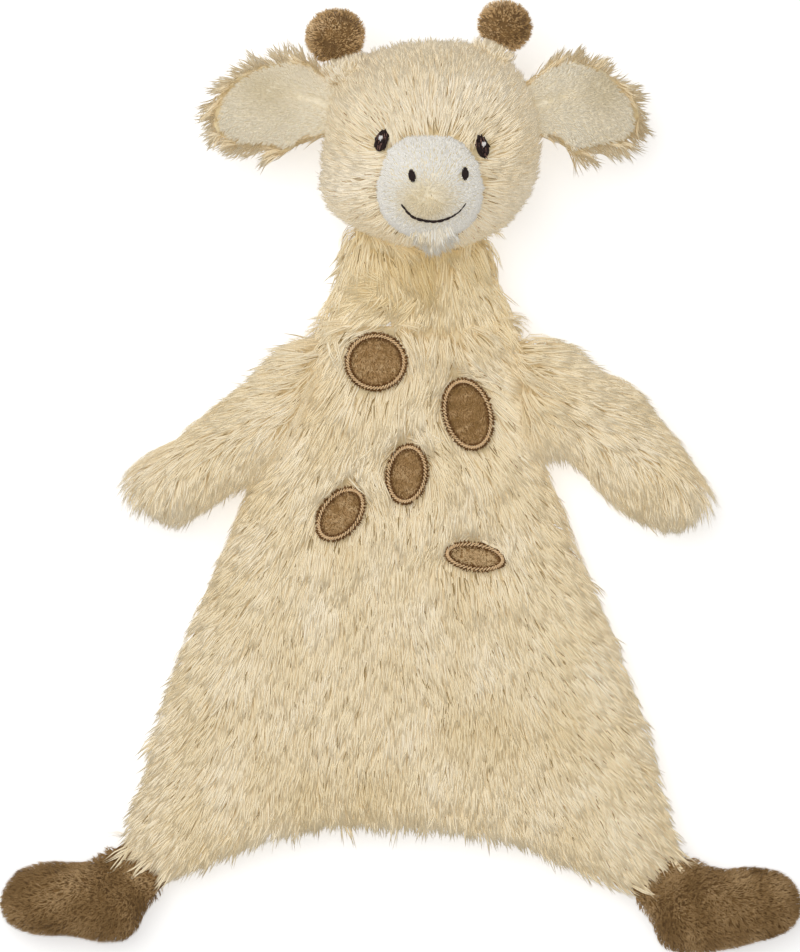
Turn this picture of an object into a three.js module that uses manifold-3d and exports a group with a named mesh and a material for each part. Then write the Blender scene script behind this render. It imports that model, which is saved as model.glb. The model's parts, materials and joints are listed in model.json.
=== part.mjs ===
// A flat comfort blanket in the shape of a small giraffe, lying on its back with its face up.
// +Z is up, +Y runs toward the head and +X is the right of a viewer who looks down at the face.
// All lengths are in millimetres, and a value that ends in share or shares is a part of a length.
import * as THREE from "three";
import { mergeVertices } from "three/addons/utils/BufferGeometryUtils.js";
import Module from "manifold-3d";

const wasm = await Module();
wasm.setup();

// Gaps and depths that every piece shares
const gap = 0.3;
const restDepth = 0.5;
const sewnEdge = 0.9;
const cutOverrun = 30;

// Torso: two furry panels sewn together round their edge, with no wadding between them
const torsoLength = 159.2;
const torsoHalfWidth = 84.5;
const torsoThickness = 15;
const torsoSeamHeight = 7;
const hemDrop = 12.1;
const hemRise = 5;
const hemSlant = 1.4;
const torsoWidthShares = [0.337, 0.402, 0.46, 0.524, 0.598, 0.673, 0.755, 0.826, 0.892, 0.94, 1];
const torsoCentreShares = [0.075, 0.059, 0.032, 0.009, 0.012, 0.012, 0.008, 0.007, 0.012, 0.007, 0];
const torsoColumnShares = [-1, -0.95, -0.82, -0.64, -0.43, -0.21, 0, 0.21, 0.43, 0.64, 0.82, 0.95, 1];
const torsoRowShares = [0, 0.06, 0.13, 0.21, 0.3, 0.4, 0.5, 0.6, 0.69, 0.78, 0.86, 0.93, 0.975, 1];
const ankleShare = 0.82;
const hemStartShare = 0.5;

// Spots: short plush patches let into the front panel, each with an embroidered border
const spotDepth = 2;
const spotThickness = 1.4;
const borderWidth = 1.7;
const borderHeight = 1.5;
const spotWidths = [18.3, 14.8, 12.5, 12.1, 18.1];
const spotLengths = [17.4, 21.9, 18.1, 18.3, 8.9];
const spotTurnsDegrees = [0, 15, -8, -38, -8];
const spotAcrossShares = [-0.082, 0.239, 0.026, -0.205, 0.264];
const spotDownShares = [0.084, 0.181, 0.292, 0.366, 0.445];

// Neck
const neckReach = 33;
const neckThickness = 22;
const neckSeamHeight = 9;
const neckSwellShares = [0.45, 0.62, 0.85, 1, 1];
const neckLeftShares = [[0, -0.5], [0.15, -0.454], [0.37, -0.418], [0.6, -0.41], [0.88, -0.41], [1, -0.4]];
const neckRightShares = [[0, 0.5], [0.15, 0.437], [0.37, 0.389], [0.6, 0.385], [0.88, 0.384], [1, 0.375]];

// Arms: the two differ a little, as they lie
const armThickness = 20;
const armSeamHeight = 9;
const armReaches = { left: 33.8, right: 44.6 };
const armSeamTopShare = 0.032;
const armSeamEndShares = { left: 0.312, right: 0.27 };
const armSwellShares = [0.5, 0.86, 0.98, 1, 1, 0.9, 0.42];
const armUpperShares = {
  left: [[0, -0.5], [0.17, -0.35], [0.33, -0.18], [0.45, 0.02], [0.57, 0.22], [0.72, 0.4], [0.87, 0.56],
    [0.97, 0.69], [1, 0.79], [0.96, 0.86]],
  right: [[0, -0.5], [0.13, -0.41], [0.29, -0.27], [0.46, -0.09], [0.64, 0.1], [0.75, 0.29], [0.86, 0.5],
    [0.95, 0.71], [1, 0.9], [0.96, 1.05]],
};
const armLowerShares = {
  left: [[0, 0.5], [0.04, 0.54], [0.09, 0.61], [0.14, 0.7], [0.22, 0.8], [0.33, 0.88], [0.45, 0.96],
    [0.59, 0.99], [0.75, 0.96], [0.87, 0.92]],
  right: [[0, 0.5], [0.06, 0.56], [0.14, 0.64], [0.23, 0.78], [0.32, 0.9], [0.41, 1.01], [0.53, 1.12],
    [0.66, 1.21], [0.79, 1.22], [0.9, 1.14]],
};

// Feet
const footThickness = 20;
const footSeamHeight = 8;
const footReaches = { left: 35.4, right: 33 };
const footSwellShares = [0.5, 0.82, 0.97, 1, 1, 0.88, 0.42];
const footUpperShares = {
  left: [[0, -0.5], [0.12, -0.56], [0.24, -0.7], [0.35, -0.97], [0.48, -1.22], [0.64, -1.39], [0.81, -1.37],
    [0.93, -1.26]],
  right: [[0, -0.5], [0.12, -0.66], [0.25, -0.95], [0.41, -1.28], [0.55, -1.51], [0.7, -1.6], [0.84, -1.56],
    [0.95, -1.42]],
};
const footLowerShares = {
  left: [[0, 0.5], [0.13, 0.46], [0.26, 0.52], [0.46, 0.45], [0.64, 0.19], [0.78, -0.2], [0.93, -0.62],
    [1, -1]],
  right: [[0, 0.5], [0.13, 0.52], [0.28, 0.54], [0.46, 0.52], [0.62, 0.25], [0.78, -0.18], [0.92, -0.71],
    [1, -1.15]],
};

// Head: a stuffed ball of a face panel and a back panel round wadding
const headHalfWidth = 31.2;
const headHalfLength = 30.5;
const headHalfDepth = 25;
const headOffset = 3.4;
const neckShownLength = 20.7;
const headWall = 5;

// Muzzle: a round nose of short plush on the face
const muzzleHalfWidth = 15.6;
const muzzleHalfLength = 15.2;
const muzzleHalfDepth = 14;
const muzzleSunk = 3;
const muzzleWall = 2.5;
const muzzlePlaceShares = [-0.02, -0.435];
const nostrilWidth = 1.8;
const nostrilLength = 4.2;
const nostrilPlaceShares = { left: [-0.33, 0.28], right: [0.62, 0.32] };
const nostrilTurnsDegrees = { left: 14, right: -12 };
const mouthThickness = 1.1;
const mouthShares = [[-0.52, -0.3], [-0.3, -0.53], [0.02, -0.61], [0.28, -0.57], [0.5, -0.44], [0.66, -0.25]];

// Eyes: embroidered ovals on the face, each with a small light stitch on top
const eyeWidth = 4.8;
const eyeLength = 7.8;
const threadThickness = 0.9;
const glintWidth = 1.5;
const eyePlaceShares = { left: [-0.48, 0.05], right: [0.47, -0.01] };
const eyeTurnsDegrees = { left: -18, right: 12 };
const glintShiftShares = { left: [-0.05, 0.1], right: [0.1, 0.1] };

// Ears: a short plush inner leaf on a larger furry outer leaf
const earReaches = { left: 33.8, right: 31.4 };
const earWidth = 31;
const earThickness = 9;
const earRootRadius = 3;
const earPlaceDegrees = { left: 160, right: 20 };
const earLeanDegrees = 15;
const earDroopDegrees = 12;
const earInnerShare = 0.86;
const earSwellShares = [0.67, 0.95, 1, 1, 0.9, 0.4];
const earUpperShares = [[0, -0.22], [0.17, -0.36], [0.34, -0.46], [0.55, -0.5], [0.78, -0.41], [0.97, -0.17],
  [1, -0.03]];
const earLowerShares = [[0, 0.26], [0.15, 0.4], [0.43, 0.48], [0.73, 0.43], [0.93, 0.26], [1, 0.06]];

// Horns: a furry stalk round wadding, with a stuffed knob on top
const stalkRadius = 5.2;
const stalkTopRadius = 5;
const knobReaches = { left: 7.5, right: 5.4 };
const knobRadii = { left: 9, right: 8.3 };
const knobHalfHeights = { left: 8.2, right: 7.6 };
const hornWall = 2.2;
const hornPlaceDegrees = { left: 136, right: 57 };
const hornLeanDegrees = { left: 107, right: 66 };

// Pile and wadding of the stuffed limbs
const pileDepth = 4.6;
const waddingSwellShare = 0.86;

// Rings of points in a patch, out from its middle
const patchRingShares = [0.5, 1];

// Counts of rows, sides and steps
const limbColumnCount = 7;
const limbRowCount = 10;
const earRowCount = 7;
const earRootRowCount = 4;
const patchSideCount = 18;
const borderSideCount = 6;
const headSideCount = 24;
const headRingCount = 14;
const muzzleRingCount = 8;
const latheSideCount = 14;
const lathePointCount = 6;
const mouthStepCount = 12;
const mouthSideCount = 6;

// Roundness of a sewn outline: the power of a circle, and more for a squarer one
const circlePower = 2;
const torsoRoundnessPower = 4;
const hemRoundnessPower = 8;
const limbRoundnessPower = 2.4;
const headRoundnessPower = 2.25;
const archRoundnessPower = 2.4;

const sides = { left: -1, right: 1 };
const radians = THREE.MathUtils.degToRad;

// Finishes, one per kind of cloth or thread
function finish(color, roughness) {
  return new THREE.MeshStandardMaterial({ color, roughness, metalness: 0 });
}
const longPile = finish(0xdfcda4, 0.95);
const neckPile = finish(0xd6bd86, 0.95);
const creamPlush = finish(0xe4dcc8, 0.9);
const muzzlePlush = finish(0xe6e0d3, 0.9);
const brownPlush = finish(0x97794f, 0.9);
const spotPlush = finish(0x9c8460, 0.9);
const borderThread = finish(0x8a6240, 0.7);
const darkThread = finish(0x2b1a18, 0.55);
const lightThread = finish(0xf4f1ec, 0.55);
const wadding = finish(0xf2f0ea, 1);

const toy = new THREE.Group();

// Adds a named piece of one finish to a group.
function addPiece(group, name, geometry, material) {
  const mesh = new THREE.Mesh(geometry, material.clone());
  mesh.name = name;
  group.add(mesh);
}

// The geometry of a list of points and triangles, turned outward where it came out inside out.
function closedGeometry(points, triangles) {
  const volume = triangles.reduce((sum, [a, b, c]) => {
    const normal = new THREE.Vector3().crossVectors(points[b], points[c]);
    return sum + normal.dot(points[a]);
  }, 0);
  const facing = volume < 0 ? triangles.map(([a, b, c]) => [a, c, b]) : triangles;
  const geometry = new THREE.BufferGeometry().setFromPoints(points);
  geometry.setIndex(facing.flat());
  return geometry;
}

// A geometry as a solid that can be cut.
function solidOf(geometry) {
  const bare = geometry.clone();
  bare.deleteAttribute("normal");
  bare.deleteAttribute("uv");
  const merged = mergeVertices(bare);
  const mesh = new wasm.Mesh({
    numProp: 3,
    vertProperties: new Float32Array(merged.attributes.position.array),
    triVerts: new Uint32Array(merged.index.array),
  });
  return new wasm.Manifold(mesh);
}

// A cut solid back as a geometry.
function geometryOf(solid) {
  const mesh = solid.getMesh();
  const geometry = new THREE.BufferGeometry();
  geometry.setAttribute("position", new THREE.BufferAttribute(new Float32Array(mesh.vertProperties), 3));
  geometry.setIndex(new THREE.BufferAttribute(new Uint32Array(mesh.triVerts), 1));
  return geometry;
}

// A value that runs smoothly through evenly spaced shares.
function along(shares, t) {
  const points = shares.map((share, i) => new THREE.Vector2(i, share));
  return new THREE.SplineCurve(points).getPoint(t).y;
}

// The height of a rounded edge: 1 in the middle and 0 at the edge.
function rounded(share, roundness) {
  const fall = Math.abs(share) ** roundness;
  return Math.max(0, 1 - fall) ** (1 / roundness);
}

// Evenly spaced values from one share to another.
function spread(from, to, count) {
  return Array.from({ length: count }, (_, i) => from + ((to - from) * i) / (count - 1));
}

// A closed solid between a low and a high surface, over a grid of places.
function slab(columnShares, rowShares, placeAt, lowAt, highAt) {
  const across = columnShares.length;
  const down = rowShares.length;
  const points = [];
  for (const heightAt of [highAt, lowAt]) {
    for (const v of rowShares) {
      for (const u of columnShares) {
        const place = placeAt(u, v);
        points.push(new THREE.Vector3(place.x, place.y, heightAt(u, v)));
      }
    }
  }
  const low = across * down;
  const at = (i, j) => i * across + j;
  const triangles = [];
  for (let i = 0; i + 1 < down; i++) {
    for (let j = 0; j + 1 < across; j++) {
      const [a, b, c, d] = [at(i, j), at(i + 1, j), at(i + 1, j + 1), at(i, j + 1)];
      triangles.push([a, b, c], [a, c, d]);
      triangles.push([a + low, c + low, b + low], [a + low, d + low, c + low]);
    }
  }
  const wall = (a, b) => triangles.push([b, a, a + low], [b, a + low, b + low]);
  for (let i = 0; i + 1 < down; i++) {
    wall(at(i, 0), at(i + 1, 0));
    wall(at(i + 1, across - 1), at(i, across - 1));
  }
  for (let j = 0; j + 1 < across; j++) {
    wall(at(down - 1, j), at(down - 1, j + 1));
    wall(at(0, j + 1), at(0, j));
  }
  return closedGeometry(points, triangles);
}

// An oval patch that follows a surface, between two heights over it.
function patch(centre, width, length, turn, surfaceAt, low, high) {
  const points = [];
  const add = (x, y, lift) => points.push(new THREE.Vector3(x, y, surfaceAt(x, y) + lift));
  for (const lift of [high, low]) {
    add(centre.x, centre.y, lift);
    for (const ring of patchRingShares) {
      for (let k = 0; k < patchSideCount; k++) {
        const place = ovalPlace(centre, width * ring, length * ring, turn, k / patchSideCount);
        add(place.x, place.y, lift);
      }
    }
  }
  const lowStart = 1 + patchRingShares.length * patchSideCount;
  const triangles = [];
  for (let k = 0; k < patchSideCount; k++) {
    const next = (k + 1) % patchSideCount;
    const [inner, innerNext] = [1 + k, 1 + next];
    const [outer, outerNext] = [inner + patchSideCount, innerNext + patchSideCount];
    const faces = [[0, inner, innerNext], [inner, outer, outerNext], [inner, outerNext, innerNext]];
    for (const [a, b, c] of faces) {
      triangles.push([a, b, c], [a + lowStart, c + lowStart, b + lowStart]);
    }
    triangles.push([outer, outer + lowStart, outerNext + lowStart], [outer, outerNext + lowStart, outerNext]);
  }
  return closedGeometry(points, triangles);
}

// A place on an oval outline, a share of a turn round it.
function ovalPlace(centre, width, length, turn, turnShare) {
  const angle = 2 * Math.PI * turnShare;
  const place = new THREE.Vector2((width / 2) * Math.cos(angle), (length / 2) * Math.sin(angle));
  return place.rotateAround(new THREE.Vector2(), turn).add(centre);
}

// A closed cord of thread round an oval, lying on a surface.
function ovalCord(centre, width, length, turn, surfaceAt, low) {
  const points = [];
  const triangles = [];
  for (let k = 0; k < patchSideCount; k++) {
    for (let s = 0; s < borderSideCount; s++) {
      const angle = (2 * Math.PI * s) / borderSideCount;
      const outward = borderWidth * Math.cos(angle);
      const place = ovalPlace(centre, width + outward, length + outward, turn, k / patchSideCount);
      const lift = low + (borderHeight / 2) * (1 + Math.sin(angle));
      points.push(new THREE.Vector3(place.x, place.y, surfaceAt(place.x, place.y) + lift));
      const ring = k * borderSideCount;
      const nextRing = ((k + 1) % patchSideCount) * borderSideCount;
      const nextSide = (s + 1) % borderSideCount;
      const [a, b, c, d] = [ring + s, ring + nextSide, nextRing + nextSide, nextRing + s];
      triangles.push([a, b, c], [a, c, d]);
    }
  }
  return closedGeometry(points, triangles);
}

// Torso
function hemShift(u, v) {
  const bend = (Math.max(0, v - hemStartShare) / (1 - hemStartShare)) ** 2;
  const slant = hemSlant * u;
  const acrossShare = Math.abs(u) / ankleShare;
  const arch = -hemDrop + (hemDrop + hemRise) * (1 - acrossShare ** archRoundnessPower);
  const ankle = (-hemDrop * (1 - Math.abs(u))) / (1 - ankleShare);
  return bend * ((acrossShare < 1 ? arch : ankle) - slant);
}

function torsoPlace(u, v) {
  const centre = torsoHalfWidth * along(torsoCentreShares, v);
  const halfWidth = torsoHalfWidth * along(torsoWidthShares, v);
  return new THREE.Vector2(centre + u * halfWidth, hemShift(u, v) - torsoLength * v - gap / 2);
}

function torsoHeight(u, v) {
  const swell = rounded(u, torsoRoundnessPower) * rounded(v, hemRoundnessPower);
  return torsoSeamHeight + gap / 2 + Math.max(sewnEdge, (torsoThickness - torsoSeamHeight) * swell);
}

function torsoFloor(u, v) {
  const swell = rounded(u, torsoRoundnessPower) * rounded(v, hemRoundnessPower);
  const low = torsoSeamHeight - (torsoSeamHeight + restDepth) * swell;
  return Math.max(0, Math.min(low, torsoSeamHeight - gap / 2 - sewnEdge));
}

// The front panel's height at a place in the upper half of the torso, where the hem doesn't bend it.
function torsoHeightAt(x, y) {
  const v = -y / torsoLength;
  const centre = torsoHalfWidth * along(torsoCentreShares, v);
  return torsoHeight((x - centre) / (torsoHalfWidth * along(torsoWidthShares, v)), v);
}

function buildTorso() {
  const seam = torsoSeamHeight;
  const front = slab(torsoColumnShares, torsoRowShares, torsoPlace, () => seam + gap / 2, torsoHeight);
  const back = slab(torsoColumnShares, torsoRowShares, torsoPlace, torsoFloor, () => seam - gap / 2);
  let frontSolid = solidOf(front);
  spotWidths.forEach((width, i) => {
    const length = spotLengths[i];
    const turn = radians(spotTurnsDegrees[i]);
    const centre = new THREE.Vector2(torsoHalfWidth * spotAcrossShares[i], -torsoLength * spotDownShares[i]);
    const room = 2 * gap;
    const pocket = patch(centre, width + room, length + room, turn, torsoHeightAt, -spotDepth, cutOverrun);
    frontSolid = frontSolid.subtract(solidOf(pocket));
    const low = gap - spotDepth;
    const inner = 2 * borderWidth + room;
    const plush = patch(centre, width - inner, length - inner, turn, torsoHeightAt, low, low + spotThickness);
    const cord = ovalCord(centre, width - borderWidth, length - borderWidth, turn, torsoHeightAt, low);
    addPiece(toy, `spot_${i + 1}`, plush, spotPlush);
    addPiece(toy, `spot_border_${i + 1}`, cord, borderThread);
  });
  addPiece(toy, "torso_front_panel", geometryOf(frontSolid), longPile);
  addPiece(toy, "torso_back_panel", back, longPile);
}

// A limb sewn to a seam: its own frame has the seam along X, the way out along +Y and its fold line at Z 0.
// The edge holds places along the seam, and the limb stands clear of the one that bulges most.
function limbFrame(name, edge, outward) {
  const group = new THREE.Group();
  group.name = name;
  const [from, to] = [edge[0], edge[edge.length - 1]];
  const seam = new THREE.Vector2().subVectors(to, from);
  const out = new THREE.Vector2(seam.y, -seam.x).multiplyScalar(outward).normalize();
  const bulge = Math.max(...edge.map((place) => place.clone().sub(from).dot(out)));
  const middle = new THREE.Vector2().addVectors(from, to).divideScalar(2).add(out.clone().setLength(bulge));
  group.position.set(middle.x, middle.y, torsoThickness);
  group.rotation.z = Math.atan2(out.y, out.x) - Math.PI / 2;
  toy.add(group);
  return { group, seamLength: seam.length() };
}

// The three pieces of a stuffed limb: a front panel, a back panel and the wadding between them.
function limbPieces({ upper, lower, reach, seamLength, flip, thickness, seamHeight, swellShares, fold }) {
  const curveOf = (shares) => {
    const points = shares.map(([out, s]) => new THREE.Vector3(flip * s * seamLength, out * reach, 0));
    return new THREE.CatmullRomCurve3(points, false, "centripetal");
  };
  const [upperEdge, lowerEdge] = [curveOf(upper), curveOf(lower)];
  const placeAt = (u, v) => {
    const place = new THREE.Vector3().lerpVectors(upperEdge.getPoint(v), lowerEdge.getPoint(v), (u + 1) / 2);
    return place.add(new THREE.Vector3(0, gap / 2, 0));
  };
  const seam = seamHeight - fold;
  const rise = (u, v) => (thickness - seamHeight) * along(swellShares, v) * rounded(u, limbRoundnessPower);
  const drop = (u, v) => (seamHeight + restDepth) * along(swellShares, v) * rounded(u, limbRoundnessPower);
  const core = (height) => Math.max(0, height - pileDepth);
  const top = (u, v) => seam + gap / 2 + Math.max(sewnEdge + core(rise(u, v)), rise(u, v));
  const floor = (u, v) => Math.max(-fold, seam - gap / 2 - Math.max(sewnEdge + core(drop(u, v)), drop(u, v)));
  const ceiling = (u, v) => seam + gap / 2 + core(rise(u, v));
  const bed = (u, v) => seam - gap / 2 - core(drop(u, v));
  const coreTop = (u, v) => ceiling(u, v) - gap;
  const coreFloor = (u, v) => bed(u, v) + gap;
  const columns = spread(-1, 1, limbColumnCount).map((u) => Math.sin((u * Math.PI) / 2));
  const rows = spread(0, 1, limbRowCount);
  const coreColumns = columns.slice(1, -1);
  const coreRows = rows.filter((v) => along(swellShares, v) >= waddingSwellShare);
  return {
    front: slab(columns, rows, placeAt, ceiling, top),
    back: slab(columns, rows, placeAt, floor, bed),
    filling: slab(coreColumns, coreRows, placeAt, coreFloor, coreTop),
  };
}

function buildLimb(name, frame, shape, panelFinish, cutter) {
  const pieces = limbPieces({ ...shape, seamLength: frame.seamLength, fold: torsoThickness });
  const cutOf = (geometry) => (cutter ? geometryOf(solidOf(geometry).subtract(cutter)) : geometry);
  const [place, where] = name;
  addPiece(frame.group, `${place}_front_panel${where}`, cutOf(pieces.front), panelFinish);
  addPiece(frame.group, `${place}_back_panel${where}`, cutOf(pieces.back), panelFinish);
  addPiece(frame.group, `${place}_filling${where}`, cutOf(pieces.filling), wadding);
}

function buildArms() {
  for (const [where, side] of Object.entries(sides)) {
    const rows = spread(armSeamTopShare, armSeamEndShares[where], limbRowCount);
    const edge = rows.map((v) => torsoPlace(side, v));
    const frame = limbFrame(`arm_${where}`, edge, -side);
    const shape = {
      upper: armUpperShares[where],
      lower: armLowerShares[where],
      reach: armReaches[where],
      flip: side,
      thickness: armThickness,
      seamHeight: armSeamHeight,
      swellShares: armSwellShares,
    };
    buildLimb(["arm", `_${where}`], frame, shape, longPile);
  }
}

function buildFeet() {
  for (const [where, side] of Object.entries(sides)) {
    const edge = [1, ankleShare].map((u) => torsoPlace(side * u, 1));
    const frame = limbFrame(`foot_${where}`, edge, -side);
    const shape = {
      upper: footUpperShares[where],
      lower: footLowerShares[where],
      reach: footReaches[where],
      flip: side,
      thickness: footThickness,
      seamHeight: footSeamHeight,
      swellShares: footSwellShares,
    };
    buildLimb(["foot", `_${where}`], frame, shape, brownPlush);
  }
}

// A squarish ball with three half sizes.
function ball(halfSizes, roundness, ringCount) {
  const geometry = new THREE.SphereGeometry(1, headSideCount, ringCount);
  const positions = geometry.attributes.position;
  for (let i = 0; i < positions.count; i++) {
    const point = new THREE.Vector3().fromBufferAttribute(positions, i);
    const sum = point.toArray().reduce((total, value) => total + Math.abs(value) ** roundness, 0);
    point.multiplyScalar(sum ** (-1 / roundness)).multiply(halfSizes);
    positions.setXYZ(i, point.x, point.y, point.z);
  }
  return geometry;
}

// Head: its own frame has the turning line of the head along Y.
const headFloor = restDepth - headHalfDepth;

function headHeightAt(x, y) {
  const across = Math.abs(x / headHalfWidth) ** headRoundnessPower;
  const up = Math.abs(y / headHalfLength) ** headRoundnessPower;
  return headHalfDepth * Math.max(0, 1 - across - up) ** (1 / headRoundnessPower);
}

function headBall(shrink) {
  const halfSizes = new THREE.Vector3(headHalfWidth, headHalfLength, headHalfDepth).subScalar(shrink);
  return solidOf(ball(halfSizes, headRoundnessPower, headRingCount));
}

// A wide block that holds everything on one side of a level.
function block(low, high) {
  const size = 2 * (headHalfWidth + cutOverrun);
  const geometry = new THREE.BoxGeometry(size, size, high - low);
  geometry.translate(0, 0, (low + high) / 2);
  return solidOf(geometry);
}

function buildHead(group) {
  const shell = headBall(0).subtract(headBall(headWall));
  const face = shell.intersect(block(gap / 2, headHalfDepth + cutOverrun));
  const back = shell.intersect(block(headFloor, -gap / 2));
  addPiece(group, "head_front_panel", geometryOf(face), longPile);
  addPiece(group, "head_back_panel", geometryOf(back), longPile);
  addPiece(group, "head_filling", geometryOf(headBall(headWall + gap)), wadding);
}

// Muzzle, placed on the face
const muzzleX = headHalfWidth * muzzlePlaceShares[0];
const muzzleY = headHalfLength * muzzlePlaceShares[1];
const muzzleZ = headHeightAt(muzzleX, muzzleY) - muzzleSunk;

function muzzleHeightAt(x, y) {
  const across = Math.abs((x - muzzleX) / muzzleHalfWidth) ** headRoundnessPower;
  const up = Math.abs((y - muzzleY) / muzzleHalfLength) ** headRoundnessPower;
  return muzzleZ + muzzleHalfDepth * Math.max(0, 1 - across - up) ** (1 / headRoundnessPower);
}

function muzzleBall(shrink) {
  const halfSizes = new THREE.Vector3(muzzleHalfWidth, muzzleHalfLength, muzzleHalfDepth).subScalar(shrink);
  const geometry = ball(halfSizes, headRoundnessPower, muzzleRingCount);
  geometry.translate(muzzleX, muzzleY, muzzleZ);
  return solidOf(geometry);
}

function buildMuzzle(group) {
  const face = headBall(-gap);
  const cover = muzzleBall(0).subtract(muzzleBall(muzzleWall)).subtract(face);
  const filling = muzzleBall(muzzleWall + gap).subtract(face);
  addPiece(group, "muzzle_cover", geometryOf(cover), muzzlePlush);
  addPiece(group, "muzzle_filling", geometryOf(filling), wadding);
  for (const where of Object.keys(sides)) {
    const [acrossShare, upShare] = nostrilPlaceShares[where];
    const centre = new THREE.Vector2(
      muzzleX + muzzleHalfWidth * acrossShare,
      muzzleY + muzzleHalfLength * upShare,
    );
    const turn = radians(nostrilTurnsDegrees[where]);
    const high = gap + threadThickness;
    const stitches = patch(centre, nostrilWidth, nostrilLength, turn, muzzleHeightAt, gap, high);
    addPiece(group, `nostril_${where}`, stitches, darkThread);
  }
  const lift = gap + mouthThickness / 2;
  const path = mouthShares.map(([acrossShare, upShare]) => {
    const x = muzzleX + muzzleHalfWidth * acrossShare;
    const y = muzzleY + muzzleHalfLength * upShare;
    const z = muzzleHeightAt(x, y);
    const outward = new THREE.Vector3(x - muzzleX, y - muzzleY, z - muzzleZ).setLength(lift);
    return new THREE.Vector3(x, y, z).add(outward);
  });
  const section = new THREE.Shape();
  section.absarc(0, 0, mouthThickness / 2, 0, 2 * Math.PI);
  const mouth = new THREE.ExtrudeGeometry(section, {
    extrudePath: new THREE.CatmullRomCurve3(path, false, "centripetal"),
    steps: mouthStepCount,
    curveSegments: mouthSideCount,
    bevelEnabled: false,
  });
  addPiece(group, "mouth_stitching", mouth, darkThread);
}

function buildEyes(group) {
  for (const where of Object.keys(sides)) {
    const [acrossShare, upShare] = eyePlaceShares[where];
    const centre = new THREE.Vector2(headHalfWidth * acrossShare, headHalfLength * upShare);
    const turn = radians(eyeTurnsDegrees[where]);
    const high = gap + threadThickness;
    const eye = patch(centre, eyeWidth, eyeLength, turn, headHeightAt, gap, high);
    addPiece(group, `eye_${where}`, eye, darkThread);
    const [besideShare, aboveShare] = glintShiftShares[where];
    const shift = new THREE.Vector2(eyeWidth * besideShare, eyeLength * aboveShare);
    const low = high + gap;
    const glint = patch(centre.add(shift), glintWidth, glintWidth, 0, headHeightAt, low, low + gap);
    addPiece(group, `eye_glint_${where}`, glint, lightThread);
  }
}

// The head's edge at its middle height, in a given direction: the place and the way out.
function headEdge(angle) {
  const [x, y] = [Math.cos(angle), Math.sin(angle)];
  const power = headRoundnessPower;
  const sum = Math.abs(x / headHalfWidth) ** power + Math.abs(y / headHalfLength) ** power;
  const place = new THREE.Vector2(x, y).multiplyScalar(sum ** (-1 / power));
  const slope = (value, half) => (Math.sign(value) * Math.abs(value / half) ** (power - 1)) / half;
  const out = new THREE.Vector2(slope(place.x, headHalfWidth), slope(place.y, headHalfLength));
  return { place, out: out.normalize() };
}

// An ear: its own frame has the fold line along X and the way out along +Y.
function buildEar(head, where, side) {
  const { place: edgePlace, out: edgeOut } = headEdge(radians(earPlaceDegrees[where]));
  const group = new THREE.Group();
  group.name = `ear_${where}`;
  const root = edgePlace.add(edgeOut.clone().setLength(earRootRadius + gap));
  group.position.set(root.x, root.y, 0);
  group.rotation.set(radians(-earDroopDegrees), 0, edgeOut.angle() - Math.PI / 2, "ZXY");
  head.add(group);
  const reach = earReaches[where];
  const edges = [earUpperShares, earLowerShares].map((shares) => {
    const points = shares.map(([out, s]) => {
      const lean = out * reach * Math.tan(radians(earLeanDegrees));
      return new THREE.Vector3(side * (s * earWidth + lean), out * reach, 0);
    });
    return new THREE.CatmullRomCurve3(points, false, "centripetal");
  });
  const rootRows = spread(-1, 0, earRootRowCount);
  const rows = [...rootRows.slice(0, -1), ...spread(0, 1, earRowCount)];
  const leaf = (scaleShare) => (u, v) => {
    const t = Math.max(0, v);
    const [a, b] = edges.map((edge) => edge.getPoint(t));
    const place = new THREE.Vector3().lerpVectors(a, b, (1 + u * scaleShare) / 2);
    place.y = v < 0 ? v * earRootRadius : place.y * (scaleShare + (1 - scaleShare) * (1 - t));
    return place;
  };
  const half = (u, v) => {
    const root = earRootRadius * rounded(v, circlePower);
    const swell = v < 0 ? root : (earThickness / 2) * along(earSwellShares, v);
    return gap / 2 + Math.max(sewnEdge / 2, swell * rounded(u, limbRoundnessPower) - gap / 2);
  };
  const columns = spread(-1, 1, limbColumnCount).map((u) => Math.sin((u * Math.PI) / 2));
  const inner = slab(columns, rows, leaf(earInnerShare), () => gap / 2, half);
  const outer = slab(columns, rows, leaf(1), (u, v) => -half(u, v), () => -gap / 2);
  addPiece(group, `ear_inner_${where}`, inner, creamPlush);
  addPiece(group, `ear_outer_${where}`, outer, neckPile);
}

// A turned piece round +Y, from outer and inner profile points.
function turned(profile) {
  return new THREE.LatheGeometry(profile, latheSideCount);
}

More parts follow.
